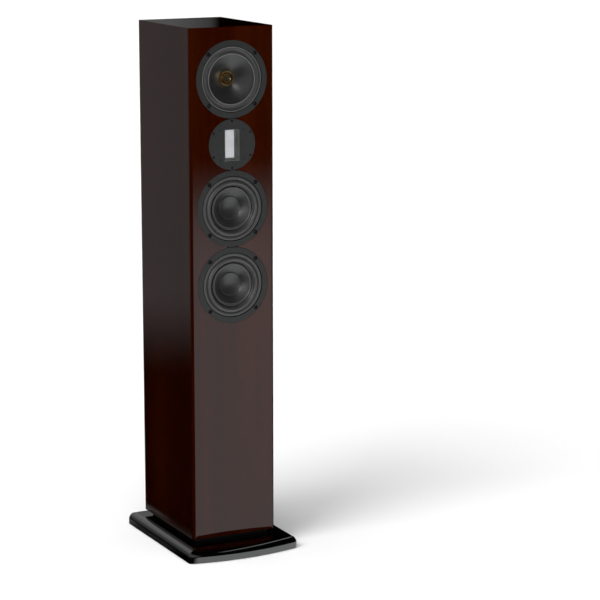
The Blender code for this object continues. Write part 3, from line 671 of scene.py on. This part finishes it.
def build_basket(name, kind, centre):
    outline = [
        (74.6, 0.0, 0.35),
        (CONE_FLANGE, 0.0, 0.6),
        (CONE_FLANGE, 5.0, 0.3),
        (75.1, 5.0),
        (72.2, 24.0),
        (51.6, 49.0),
        (51.6, 58.0, 1.0),
        (23.0, 58.0),
        (23.0, 54.5),
        (44.0, 54.5),
        (44.0, 47.5),
        (48.6, 47.5),
        *BOWLS[kind],
        (74.6, 4.6),
    ]
    bm = turned(rounded(outline), FINE)
    basket = finish_piece(name + "_frame", bm, "basket_alloy", centre, replaces=(name + "_basket",))
    cuts = bmesh.new()
    for index in range(6):
        angle = math.radians(60 * index + 30)
        near, far, half = 38.0, 95.0, 13.0
        corners = []
        for depth in (27.0, 44.5):
            for reach, side in ((near, -half), (far, -half), (far, half), (near, half)):
                across = reach * math.cos(angle) - side * math.sin(angle)
                up = reach * math.sin(angle) + side * math.cos(angle)
                corners.append(cuts.verts.new((across * MM, depth * MM, up * MM)))
        for face in ((0, 1, 2, 3), (7, 6, 5, 4), (0, 4, 5, 1), (1, 5, 6, 2), (2, 6, 7, 3), (3, 7, 4, 0)):
            cuts.faces.new([corners[corner] for corner in face])
    combine(basket, cuts)
    cuts = bmesh.new()
    screws = bmesh.new()
    shade_linings = bmesh.new()
    for quarter in range(4):
        angle = math.radians(90 * quarter + 45)
        x, z = SCREW_CIRCLE * math.cos(angle), SCREW_CIRCLE * math.sin(angle)
        add_turned(cuts, [(0, -3.0), (4.7, -3.0), (4.7, -0.1), (4.6, 0.1), (4.6, 3.4), (0, 3.4)], 40, (x, 0, z))
        painted_shade_lining(shade_linings, (x, 0, z), 4.6, 3.4)
        socket_screw(screws, (x, 0, z), 1.7, 1.2, 0.75)
    combine(basket, cuts)
    # A black ring filling the groove between the flange and the surround's rim: painted shade in the groove.
    gap = [(73.1, 4.2), (73.1, 1.5), (74.55, 0.3), (74.55, 4.2)]
    add_turned(shade_linings, gap, FINE, (0, 0, 0))
    finish_piece(name + "_black_trim", shade_linings, "bolt_steel", centre, finish=PAINTED_SHADE_BLACK)
    finish_piece(name + "_screws", screws, "bolt_steel", centre, finish=SCREW_METAL)


def flexing(piece):
    """Bakes the surround's placement into its mesh. The surround joins the enclosure at its outer radius and the
    diaphragm at its inner one.
    """
    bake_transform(piece)


def coat_bands(piece, made, front, back, *bands):
    """Gives a second material to the faces between two depths and within any of the bands of radii."""
    piece.data.materials.append(made)
    for face in piece.data.polygons:
        reach = math.hypot(face.center.x, face.center.z) / MM
        if front < face.center.y / MM < back and any(low < reach < high for low, high in bands):
            face.material_index = 1


def woofer_surround():
    over = arc(58.9, 5.3, 2.6, 4.7, 20)
    under = arc(58.9, 4.1, 3.9, 3.9, 12)
    rim = rounded([(73.0, 4.3), (73.0, 1.0, 0.6), (70.4, 0.7, 1.4), (66.4, 1.0, 1.2), (65.2, 3.4, 0.5), (64.2, 3.6)], 4)
    slope = rounded([(53.5, 2.6), (52.6, 3.8, 0.5), (51.2, 5.3, 0.3), (49.8, 5.3, 0.3), (49.3, 3.9, 0.4), (47.8, 3.6, 0.5)], 4)
    slope = slope[:-1] + rounded([(47.8, 3.6), (46.6, 4.8, 0.5), (43.9, 5.1, 0.4), (43.8, 5.6)], 4)
    return rim[:-1] + over + slope[1:] + [(50.6, 5.6)] + under[::-1] + [(67.2, 4.3)]


def mid_surround():
    over = arc(64.7, 6.3, 2.6, -4.2, 20)
    under = arc(64.7, 5.4, 4.2, -4.0, 12)
    rim = rounded([(73.0, 4.3), (73.0, 0.5, 0.7), (71.3, 0.5, 0.7), (71.0, 2.6)], 5)
    bead = rounded([(58.4, 2.6), (58.1, 0.7, 0.8), (56.2, 0.7, 0.8), (55.7, 3.0, 0.5), (55.6, 4.5), (56.2, 4.6)], 5)
    return rim[:-1] + over + bead[1:] + under[::-1] + [(72.4, 4.3)]


def flare(points, steps=6):
    """A smooth curve through (radius, depth) points, as a cone's section has."""
    ends = [points[0], *points, points[-1]]
    smooth = []
    for a, b, c, d in zip(ends, ends[1:], ends[2:], ends[3:]):
        for step in range(steps):
            t = step / steps
            smooth.append(
                tuple(
                    0.5 * (2 * q + (r - p) * t + (2 * p - 5 * q + 4 * r - s) * t**2 + (3 * q - p - 3 * r + s) * t**3)
                    for p, q, r, s in zip(a, b, c, d)
                )
            )
    return smooth + [points[-1]]


def build_cone_driver(name):
    kind = "mid" if name == "mid" else "woofer"
    body = name + "_diaphragm"
    at = middle(name + "_basket")
    centre = (0, FACE, at.z)
    build_basket(name, kind, centre)
    roll = woofer_surround() if kind == "woofer" else mid_surround()
    surround = finish_piece(
        name + "_roll", turned(roll), "surround_rubber", centre, None, (name + "_surround",), angle=60
    )
    if kind == "woofer":
        # A black band in the groove where the roll meets the cone: painted shade in that groove.
        coat_bands(surround, PAINTED_SHADE_BLACK, 4.6, 5.5, (49.5, 51.6))
        flexing(surround)
        face = [(50.2, 6.0), (44.4, 6.0)] + flare([(43.8, 6.2), (35.0, 10.2), (27.0, 15.4), (22.5, 19.8), (19.4, 25.2)])
    else:
        # The rim and bead bands take the lighter grey: painted highlight on the rings.
        coat_bands(surround, RIM_PAINTED_HIGHLIGHT, -1.0, 2.0, (71.2, 73.2), (56.0, 58.3))
        flexing(surround)
        face = [(57.4, 4.9), (56.2, 4.9)]
        face += flare([(55.4, 5.0), (47.0, 8.2), (38.0, 12.4), (29.0, 17.8), (22.0, 23.0), (16.9, 27.8)])
    behind = [(radius, depth + (1.0 if radius > 45 else 1.3)) for radius, depth in reversed(face)]
    finish_piece(name + "_cone_skin", turned(face + behind), "cone", centre, body, (name + "_cone",), angle=50)
    if kind == "woofer":
        dish, behind = [], []
        for step in range(19):
            radius = 25.4 * step / 18
            depth = 14.6 + 5.3 * (1 - (radius / 25.4) ** 2)
            dish.append((radius, depth))
            behind.append((radius, depth + 0.6))
        bead = rounded([(25.4, 14.6), (25.7, 14.25, 0.3), (26.6, 14.6, 0.3), (26.7, 15.1)], 4)[1:]
        cap = turned(dish + bead + list(reversed(behind)), 128)
        finish_piece(name + "_cap", cap, "cone", centre, body, (name + "_dust_cap",), angle=60)
    else:
        bullet = [(0, 6.9), (0.9, 7.05), (1.7, 7.6), (2.5, 8.6), (3.6, 10.4), (5.0, 13.0), (6.7, 16.2)]
        bullet += [(8.5, 19.6), (10.2, 22.8), (11.6, 25.6), (12.5, 28.2), (12.9, 31.0), (12.9, 57.9), (0, 57.9)]
        finish_piece("mid_bullet", turned(bullet, 96), "brass", centre, replaces=("mid_phase_plug",), angle=40)
        former = rounded([(14.9, 25.4, 0.4), (16.0, 25.4, 0.4), (16.1, 57.0), (16.8, 57.4), (16.8, 70.0), (15.7, 70.0), (15.6, 27.0), (14.9, 26.6)])
        finish_piece("mid_former", turned(former, 96), "coil_former", centre, body, ("mid_voice_coil",))


# ---------------------------------------------------------------- ribbon tweeter

def frustum(bm, half_width, half_height, near, far, flare):
    """A four-sided cutter from near to far, larger by flare at its near end."""
    rows = []
    for depth, extra in ((near, flare), (far, 0.0)):
        w, h = half_width + extra, half_height + extra
        rows.append([bm.verts.new((x * MM, depth * MM, z * MM)) for x, z in ((-w, -h), (w, -h), (w, h), (-w, h))])
    bm.faces.new(rows[0])
    bm.faces.new(list(reversed(rows[1])))
    for index in range(4):
        after = (index + 1) % 4
        bm.faces.new((rows[0][index], rows[0][after], rows[1][after], rows[1][index]))


def build_tweeter():
    centre = (0, FACE, middle("tweeter_faceplate").z)
    edge = TWEETER_FLANGE
    disc = rounded([(0, 0), (edge, 0, 0.6), (edge, 5.0, 0.3), (0, 5.0)])
    plate = finish_piece(
        "tweeter_plate", turned(disc), "basket_alloy", centre, replaces=("tweeter_faceplate",)
    )
    opening = bmesh.new()
    add_box(opening, (-18.6, -5, -37.6), (18.6, 20, 33.6))
    upright = [edge for edge in opening.edges if abs(edge.verts[0].co.y - edge.verts[1].co.y) > 0.01]
    bmesh.ops.bevel(opening, geom=upright, offset=0.9 * MM, segments=4, profile=0.5, affect="EDGES")
    combine(plate, opening)
    chamfer = bmesh.new()
    frustum(chamfer, 18.4, 35.4, -0.6, 0.7, 1.3)
    bmesh.ops.translate(chamfer, verts=chamfer.verts, vec=(0, 0, -2.0 * MM))
    combine(plate, chamfer)
    cuts = bmesh.new()
    screws = bmesh.new()
    places = [
        (TWEETER_SCREW_CIRCLE * math.cos(math.radians(60 * k + 30)), TWEETER_SCREW_CIRCLE * math.sin(math.radians(60 * k + 30)))
        for k in range(6)
    ]
    for x, z in places:
        add_turned(cuts, [(0, -3.0), (3.0, -3.0), (2.8, 0.15), (2.8, 2.2), (0, 2.2)], 28, (x, 0, z))
        socket_screw(screws, (x, 0, z), 2.5, 0.45, 1.2)
    for x in (-29.0, 29.0):
        for z in (-33.0, 33.0):
            add_turned(cuts, [(0, -3.0), (1.8, -3.0), (1.5, 0.1), (1.5, 2.2), (0, 2.2)], 24, (x, 0, z))
            socket_screw(screws, (x, 0, z), 1.2, 0.5, 0.65)
    combine(plate, cuts)
    finish_piece("tweeter_screws", screws, "bolt_steel", centre, finish=SCREW_BLACK)
    build_mesh_grille(centre)
    build_ribbon(centre)


def add_wire(bm, points, thick):
    """A four-sided wire through points, closed at both ends."""
    rings = []
    for index, point in enumerate(points):
        ahead = Vector(points[min(index + 1, len(points) - 1)]) - Vector(points[max(index - 1, 0)])
        ahead.normalize()
        side = ahead.cross(Vector((0, 1, 0))).normalized()
        out = side.cross(ahead).normalized()
        ring = []
        for a, b in ((1, 0), (0, 1), (-1, 0), (0, -1)):
            ring.append(bm.verts.new((Vector(point) + (side * a + out * b) * thick) * MM))
        rings.append(ring)
    for first, second in zip(rings, rings[1:]):
        for corner in range(4):
            after = (corner + 1) % 4
            bm.faces.new((first[corner], first[after], second[after], second[corner]))
    bm.faces.new(list(reversed(rings[0])))
    bm.faces.new(rings[-1])


def build_mesh_grille(centre):
    """Woven wire behind the opening: each wire passes over and under its neighbours."""
    bm = bmesh.new()
    half_w, low, high, pitch, depth, wave, thick = 18.2, -37.2, 33.2, 2.45, 1.9, 0.17, 0.16
    columns = [-half_w + 0.2 + pitch * index for index in range(int((2 * half_w) / pitch) + 1)]
    rows = [low + 0.2 + pitch * index for index in range(int((high - low) / pitch) + 1)]
    for i, x in enumerate(columns):
        points = [(x, depth, low)]
        points += [(x, depth + (wave if (i + j) % 2 else -wave), z) for j, z in enumerate(rows)]
        points.append((x, depth, high))
        add_wire(bm, points, thick)
    for j, z in enumerate(rows):
        points = [(-half_w, depth, z)]
        points += [(x, depth - (wave if (i + j) % 2 else -wave), z) for i, x in enumerate(columns)]
        points.append((half_w, depth, z))
        add_wire(bm, points, thick)
    for x in (-half_w - 0.12, half_w + 0.12):
        add_box(bm, (x - 0.14, depth - 0.3, low - 0.24), (x + 0.14, depth + 0.3, high + 0.24))
    for z in (low - 0.12, high + 0.12):
        add_box(bm, (-half_w, depth - 0.3, z - 0.14), (half_w, depth + 0.3, z + 0.14))
    finish_piece("tweeter_wire_mesh", bm, "black_mesh", centre, replaces=("tweeter_grille",), angle=50)


def build_ribbon(centre):
    bm = bmesh.new()
    pleats, per_pleat = 46, 8
    rows = []
    total = pleats * per_pleat
    for index in range(total + 1):
        up = -31.5 + 63.0 * index / total
        fade = min(1.0, 8 * index / total, 8 * (1 - index / total))
        depth = 13.6 + 0.42 * fade * math.sin(2 * math.pi * index / per_pleat)
        rows.append(
            [
                bm.verts.new((across * MM, (depth + thick) * MM, up * MM))
                for across, thick in ((-11, 0), (11, 0), (11, 0.12), (-11, 0.12))
            ]
        )
    for lower, upper in zip(rows, rows[1:]):
        for corner in range(4):
            after = (corner + 1) % 4
            bm.faces.new((lower[corner], lower[after], upper[after], upper[corner]))
    bm.faces.new(rows[0])
    bm.faces.new(list(reversed(rows[-1])))
    finish_piece("tweeter_foil", bm, "ribbon_foil", centre, replaces=("tweeter_ribbon",), angle=60)


# ---------------------------------------------------------------- rear fittings

def build_port():
    centre = (0, BACK, middle("port_tube").z)
    profile = rounded(
        [
            (52.0, -0.3),
            (52.0, -3.0, 1.2),
            (47.0, -3.3, 2.0),
            (41.5, -2.0, 2.5),
            (36.8, 4.0, 4.0),
            (33.6, 12.0, 4.0),
            (33.0, 24.0, 3.0),
            (33.0, 138.0, 5.0),
            (39.0, 150.0, 0.8),
            (37.0, 140.0, 2.0),
            (36.0, 130.0),
            (36.0, 26.0),
            (41.4, 8.0),
            (41.4, -0.3),
        ],
        6,
    )
    bm = turned(profile, 112, sign=-1)
    finish_piece("port_flare", bm, "black_plastic", centre, replaces=("port_tube",), angle=40)


def build_terminals():
    low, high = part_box("terminal_cup")
    centre = Vector((0, BACK, (low.z + high.z) / 2))
    bm = bmesh.new()
    add_box(bm, (-58, 0.3, -63), (58, 3.3, 63))
    upright = [edge for edge in bm.edges if abs(edge.verts[0].co.y - edge.verts[1].co.y) > 0.001]
    bmesh.ops.bevel(bm, geom=upright, offset=6 * MM, segments=6, profile=0.5, affect="EDGES")
    front = [edge for edge in bm.edges if all(vertex.co.y > 3.2 * MM for vertex in edge.verts)]
    bmesh.ops.bevel(bm, geom=front, offset=1.0 * MM, segments=3, profile=0.5, affect="EDGES")
    cup = finish_piece("terminal_tray", bm, "black_plastic", centre, replaces=("terminal_cup",))
    outer = bmesh.new()
    add_box(outer, (-48, -36, -53), (48, 2, 53))
    combine(cup, outer, "UNION")
    hollow = bmesh.new()
    faces = add_box(hollow, (-45, -33, -50), (45, 20, 50))
    bmesh.ops.bevel(
        hollow, geom=list({edge for face in faces for edge in face.edges}), offset=4 * MM, segments=5, affect="EDGES"
    )
    combine(cup, hollow)
    mouth = bmesh.new()
    rows = []
    for depth, grow in ((5.0, 3.2), (1.6, 0.0)):
        w, h = 45.0 + grow, 50.0 + grow
        rows.append([mouth.verts.new((x * MM, depth * MM, z * MM)) for x, z in ((-w, -h), (w, -h), (w, h), (-w, h))])
    mouth.faces.new(rows[0])
    mouth.faces.new(list(reversed(rows[1])))
    for index in range(4):
        after = (index + 1) % 4
        mouth.faces.new((rows[0][index], rows[0][after], rows[1][after], rows[1][index]))
    combine(cup, mouth)
    holes = bmesh.new()
    for side in (-19.0, 19.0):
        add_rod(holes, (side, 0), 4.9, -45, -20, 40)
    for x in (-51.8, 51.8):
        for z in (-56.8, 56.8):
            add_turned(holes, [(0, -8), (3.4, -8), (3.4, -3.2), (1.8, -1.6), (1.8, 0.2), (0, 0.2)], 32, (x, 0, z))
    for vertex in holes.verts:
        if abs(vertex.co.z) > 40 * MM:
            vertex.co.y = -vertex.co.y
    combine(cup, holes)
    screws = bmesh.new()
    for x in (-51.8, 51.8):
        for z in (-56.8, 56.8):
            socket_screw(screws, (x, 0, z), 2.6, -2.9, 1.2)
    for vertex in screws.verts:
        vertex.co.y = -vertex.co.y
    finish_piece("terminal_screws", screws, "bolt_steel", centre, finish=SCREW_METAL)

    floor_y = BACK - 33 * MM
    for colour in ("red", "black"):
        at = middle("post_" + colour)
        place = (at.x, floor_y, at.z)
        post = rounded(
            [
                (0, 18),
                (3.0, 18, 0.4),
                (3.0, 6.6),
                (6.5, 6.6, 0.4),
                (6.5, 3.3),
                (4.5, 3.3),
                (4.5, -0.3),
                (8.0, -0.3),
                (8.0, -4.0, 0.6),
                (4.0, -4.0),
                (4.0, -24.2),
                (3.4, -24.7),
                (2.1, -24.7, 0.3),
                (2.1, -8.0),
                (0, -8.0),
            ]
        )
        finish_piece(
            "stud_" + colour, turned(post, 48, sign=-1), "gold_plate", place, replaces=("post_" + colour,)
        )
        washer = rounded([(4.4, -4.4, 0.2), (8.6, -4.4, 0.3), (8.6, -6.2, 0.4), (4.4, -6.2, 0.2)])
        finish_piece(
            "washer_" + colour,
            turned(washer, 64, sign=-1),
            "gold_plate",
            place,
            colour + "_washer",
            ("post_washer_" + colour,),
        )
        grip = rounded(
            [
                (4.4, -6.6),
                (8.2, -6.6, 0.3),
                (8.9, -8.0, 0.4),
                (8.9, -25.6, 0.6),
                (7.8, -28.0, 0.8),
                (2.6, -28.0, 0.3),
                (2.6, -25.3),
                (4.4, -25.3),
            ]
        )

        def fluted(index, radius, angle):
            if radius < 8.4:
                return radius
            return radius - 0.5 * max(0.0, math.cos(18 * angle)) ** 2

        finish_piece(
            "knob_" + colour,
            turned(grip, 216, sign=-1, shape=fluted),
            colour + "_knob",
            place,
            colour + "_knob",
            ("post_knob_" + colour,),
            angle=45,
        )


# ---------------------------------------------------------------- the CAD nodes that stay

# Panels seen only through the flange slots and the gap under the cabinet get the black board: painted shade in those
# gaps. The tweeter motor takes the flange grey.
SHADE_DARKENED_AND_RECOLOURED = {
    "front_baffle": "riser_black",
    "bottom_panel": "riser_black",
    "rear_panel": "riser_black",
    "side_panel_left": "riser_black",
    "side_panel_right": "riser_black",
    "tweeter_motor": "basket_alloy",
}


def dress_frame():
    slots = {part["node"]: part["material_slot"] for part in frame["record"]["subparts"]}
    for name, node in frame["nodes"].items():
        made = M[SHADE_DARKENED_AND_RECOLOURED.get(name, slots[name])]
        node.data.materials.clear()
        node.data.materials.append(made)


# ---------------------------------------------------------------- studio

def emission_card(name, points, made):
    mesh = bpy.data.meshes.new(name)
    mesh.from_pydata(points, [], [(0, 1, 2, 3)])
    mesh.materials.append(made)
    card = bpy.data.objects.new(name, mesh)
    bpy.context.scene.collection.objects.link(card)
    card.visible_camera = False
    card.visible_diffuse = False
    card.visible_shadow = False
    card.visible_transmission = False
    card.visible_volume_scatter = False
    return card


def smooth_step(made, source, low, high):
    step = add_node(made, "ShaderNodeMapRange", interpolation_type="SMOOTHSTEP")
    step.inputs["From Min"].default_value = low
    step.inputs["From Max"].default_value = high
    join(made, source, step.inputs["Value"])
    return step.outputs["Result"]


def maths(made, operation, first, second=None):
    new = add_node(made, "ShaderNodeMath", operation=operation)
    for index, value in enumerate((first, second)):
        if value is None:
            continue
        if hasattr(value, "is_linked"):
            join(made, value, new.inputs[index])
        else:
            new.inputs[index].default_value = value
    return new.outputs[0]


def build_floor():
    """The pale floor that is seen, and the lit stretch of studio floor that the gloss reflects."""
    made, shader = start_material("studio_floor", (0.82, 0.82, 0.82), 0.9, specular=0.0)
    haze = stretched_noise(made, (1, 1, 1), 1.3, 3.0)
    join(made, ramp(made, haze, ((0.3, (0.815, 0.815, 0.815)), (0.7, (0.825, 0.825, 0.825)))), shader.inputs["Base Color"])
    bm = bmesh.new()
    size = 60.0
    corners = [bm.verts.new((x * size, y * size, 0)) for x, y in ((-1, -1), (1, -1), (1, 1), (-1, 1))]
    bm.faces.new(corners)
    mesh = bpy.data.meshes.new("floor")
    bm.to_mesh(mesh)
    bm.free()
    mesh.materials.append(made)
    floor = bpy.data.objects.new("floor", mesh)
    bpy.context.scene.collection.objects.link(floor)
    floor.visible_glossy = False

    glow = bpy.data.materials.new("lit_floor")
    glow.use_nodes = True
    nodes = glow.node_tree.nodes
    nodes.remove(nodes["Principled BSDF"])
    light = add_node(glow, "ShaderNodeEmission")
    geometry = add_node(glow, "ShaderNodeNewGeometry")
    parts = add_node(glow, "ShaderNodeSeparateXYZ")
    join(glow, geometry.outputs["Position"], parts.inputs[0])
    x, y = parts.outputs["X"], parts.outputs["Y"]
    reach = add_node(glow, "ShaderNodeVectorMath", operation="LENGTH")
    join(glow, geometry.outputs["Position"], reach.inputs[0])
    # Ahead: a lit fan of floor that the front reflects. Its left edge stays clear of the plinth's corner.
    near_edge = maths(glow, "MULTIPLY", smooth_step(glow, y, -6.4, -3.4), smooth_step(glow, y, -0.10, -0.20))
    left_edge = smooth_step(glow, x, -0.134, -0.118)
    right_edge = smooth_step(glow, maths(glow, "ADD", x, y), 0.45, 0.05)
    ahead = maths(glow, "MULTIPLY", near_edge, maths(glow, "MULTIPLY", left_edge, right_edge))
    # Behind: a dim far stretch that the left side reflects.
    far = maths(glow, "MULTIPLY", smooth_step(glow, reach.outputs["Value"], 1.7, 3.2), smooth_step(glow, y, 0.0, 0.6))
    # Beside the plinth: the faint glow on its left side, stronger at the back.
    beside = maths(glow, "MULTIPLY", smooth_step(glow, x, -0.185, -0.165), smooth_step(glow, x, -0.12, -0.14))
    along = maths(glow, "ADD", maths(glow, "MULTIPLY", smooth_step(glow, y, 0.14, 0.26), 0.20), 0.035)
    beside = maths(glow, "MULTIPLY", maths(glow, "MULTIPLY", beside, smooth_step(glow, y, -0.12, 0.0)), along)
    total = maths(glow, "ADD", maths(glow, "ADD", ahead, maths(glow, "MULTIPLY", far, 0.2)), beside)
    join(glow, total, light.inputs["Strength"])
    light.inputs["Color"].default_value = (0.98, 1.0, 1.0, 1.0)
    join(glow, light.outputs[0], nodes["Material Output"].inputs["Surface"])
    side = 30.0
    emission_card("lit_floor_card", [(-side, -side, 0.0004), (side, -side, 0.0004), (side, side, 0.0004), (-side, side, 0.0004)], glow)


def build_world():
    world = bpy.data.worlds.new("studio")
    bpy.context.scene.world = world
    world.use_nodes = True
    nodes, links = world.node_tree.nodes, world.node_tree.links
    background = nodes["Background"]
    background.inputs["Color"].default_value = (1.0, 1.0, 1.0, 1.0)

    class Tree:
        node_tree = world.node_tree

    tree = Tree()
    coordinates = add_node(tree, "ShaderNodeTexCoord")
    parts = add_node(tree, "ShaderNodeSeparateXYZ")
    join(tree, coordinates.outputs["Generated"], parts.inputs[0])
    # A soft grey wall stands behind and to the left, and the rest of the studio is dark.
    angle = maths(tree, "ARCTAN2", parts.outputs["X"], parts.outputs["Y"])
    fading = smooth_step(tree, angle, math.radians(26.2), math.radians(23.6))
    wall = maths(tree, "MULTIPLY", fading, smooth_step(tree, angle, math.radians(25.2), math.radians(24.9)))
    low = smooth_step(tree, parts.outputs["Z"], 0.95, 0.6)
    rising = maths(tree, "ADD", maths(tree, "MULTIPLY", smooth_step(tree, parts.outputs["Z"], 0.20, 0.44), 0.27), 0.12)
    grey = maths(tree, "MULTIPLY", maths(tree, "MULTIPLY", wall, low), rising)
    path = add_node(tree, "ShaderNodeLightPath")
    glossy = maths(tree, "MULTIPLY", path.outputs["Is Glossy Ray"], grey)
    seen = maths(tree, "MULTIPLY", path.outputs["Is Camera Ray"], 1.0)
    diffuse = maths(tree, "MULTIPLY", path.outputs["Is Diffuse Ray"], 0.011)
    total = maths(tree, "ADD", maths(tree, "ADD", glossy, seen), diffuse)
    join(tree, total, background.inputs["Strength"])


def add_area(name, place, target, size, power, glossy=True, diffuse=True):
    data = bpy.data.lights.new(name, "AREA")
    data.shape = "RECTANGLE"
    data.size, data.size_y = size
    data.energy = power
    lamp = bpy.data.objects.new(name, data)
    lamp.location = place
    lamp.rotation_euler = (Vector(target) - Vector(place)).to_track_quat("-Z", "Y").to_euler()
    bpy.context.scene.collection.objects.link(lamp)
    lamp.visible_camera = False
    lamp.visible_glossy = glossy
    lamp.visible_diffuse = diffuse
    return lamp


def only_light(lamp, receivers):
    """Keeps a lamp to the named objects, as a flag or a grid does in a studio."""
    group = bpy.data.collections.new(lamp.name + "_receivers")
    for receiver in receivers:
        group.objects.link(receiver)
    lamp.light_linking.receiver_collection = group


def add_sun(name, aim, energy, spread, receivers=()):
    data = bpy.data.lights.new(name, "SUN")
    data.energy = energy
    data.angle = math.radians(spread)
    lamp = bpy.data.objects.new(name, data)
    lamp.rotation_euler = Vector(aim).to_track_quat("-Z", "Y").to_euler()
    bpy.context.scene.collection.objects.link(lamp)
    lamp.visible_glossy = False
    if receivers:
        only_light(lamp, receivers)


def build_lights():
    objects = bpy.data.objects
    add_sun("floor_sky", (0.30, 0.12, -1.0), 2.5, 110, [objects["floor"]])
    add_sun("floor_sun", (0.93, 0.36, -0.95), 2.2, 34, [objects["floor"]])
    add_sun("soft_front", (0.30, 0.95, -0.12), 1.5, 50)
    add_sun("front_fill", (0.05, 1.0, -0.10), 3.1, 60, [objects["cabinet_veneer"]])
    strip = add_area("plinth_strip", (1.30, -0.72, 2.4), (-0.05, -0.18, 0.0), (3.4, 0.24), 2.2, diffuse=False)
    only_light(strip, [objects["plinth_board"]])
    add_sun("ribbon_fill", (0.1, 1.0, 0.0), 2.4, 40, [objects["tweeter_foil"]])
    ends = ("_roll", "_cone_skin", "_cap", "_bullet", "_former")
    mids = [piece for piece in objects if piece.name.startswith("mid_") and piece.name.endswith(ends)]
    woofers = [piece for piece in objects if "woofer_" in piece.name and piece.name.endswith(ends)]
    centre = (0.0, -0.12, 0.85)
    only_light(add_area("left_softbox", (-1.45, -2.75, 0.85), centre, (1.7, 1.3), 8.5), woofers)
    only_light(add_area("left_key", (-2.6, -2.2, 2.3), centre, (0.9, 0.9), 30.0), woofers)
    only_light(add_area("mid_softbox", (-1.2, -2.9, 1.0), (0.0, -0.12, 1.1), (2.2, 1.6), 4.0), mids)
    only_light(add_area("mid_highlight", (-1.17, -2.15, 3.55), (0.0, -0.12, 1.1), (0.8, 0.8), 13.0), mids)
    only_light(add_area("plug_highlight", (-2.1, -2.6, 1.75), (0.0, -0.12, 1.1), (2.6, 0.5), 22.0), [objects["mid_bullet"]])


def build_camera():
    data = bpy.data.cameras.new("camera")
    data.lens = 134.25
    data.sensor_width = 36.0
    data.clip_end = 200.0
    camera = bpy.data.objects.new("camera", data)
    camera.location = (-2.1575, -4.6515, 1.6068)
    camera.rotation_euler = (math.radians(90 - 11.388), 0, math.radians(-27.210))
    bpy.context.scene.collection.objects.link(camera)
    bpy.context.scene.camera = camera


dress_frame()
build_veneer()
build_plinth()
for driver in DRIVERS:
    build_cone_driver(driver)
build_tweeter()
build_port()
build_terminals()
build_floor()
build_world()
build_lights()
build_camera()
bpy.context.scene.view_settings.view_transform = "Standard"
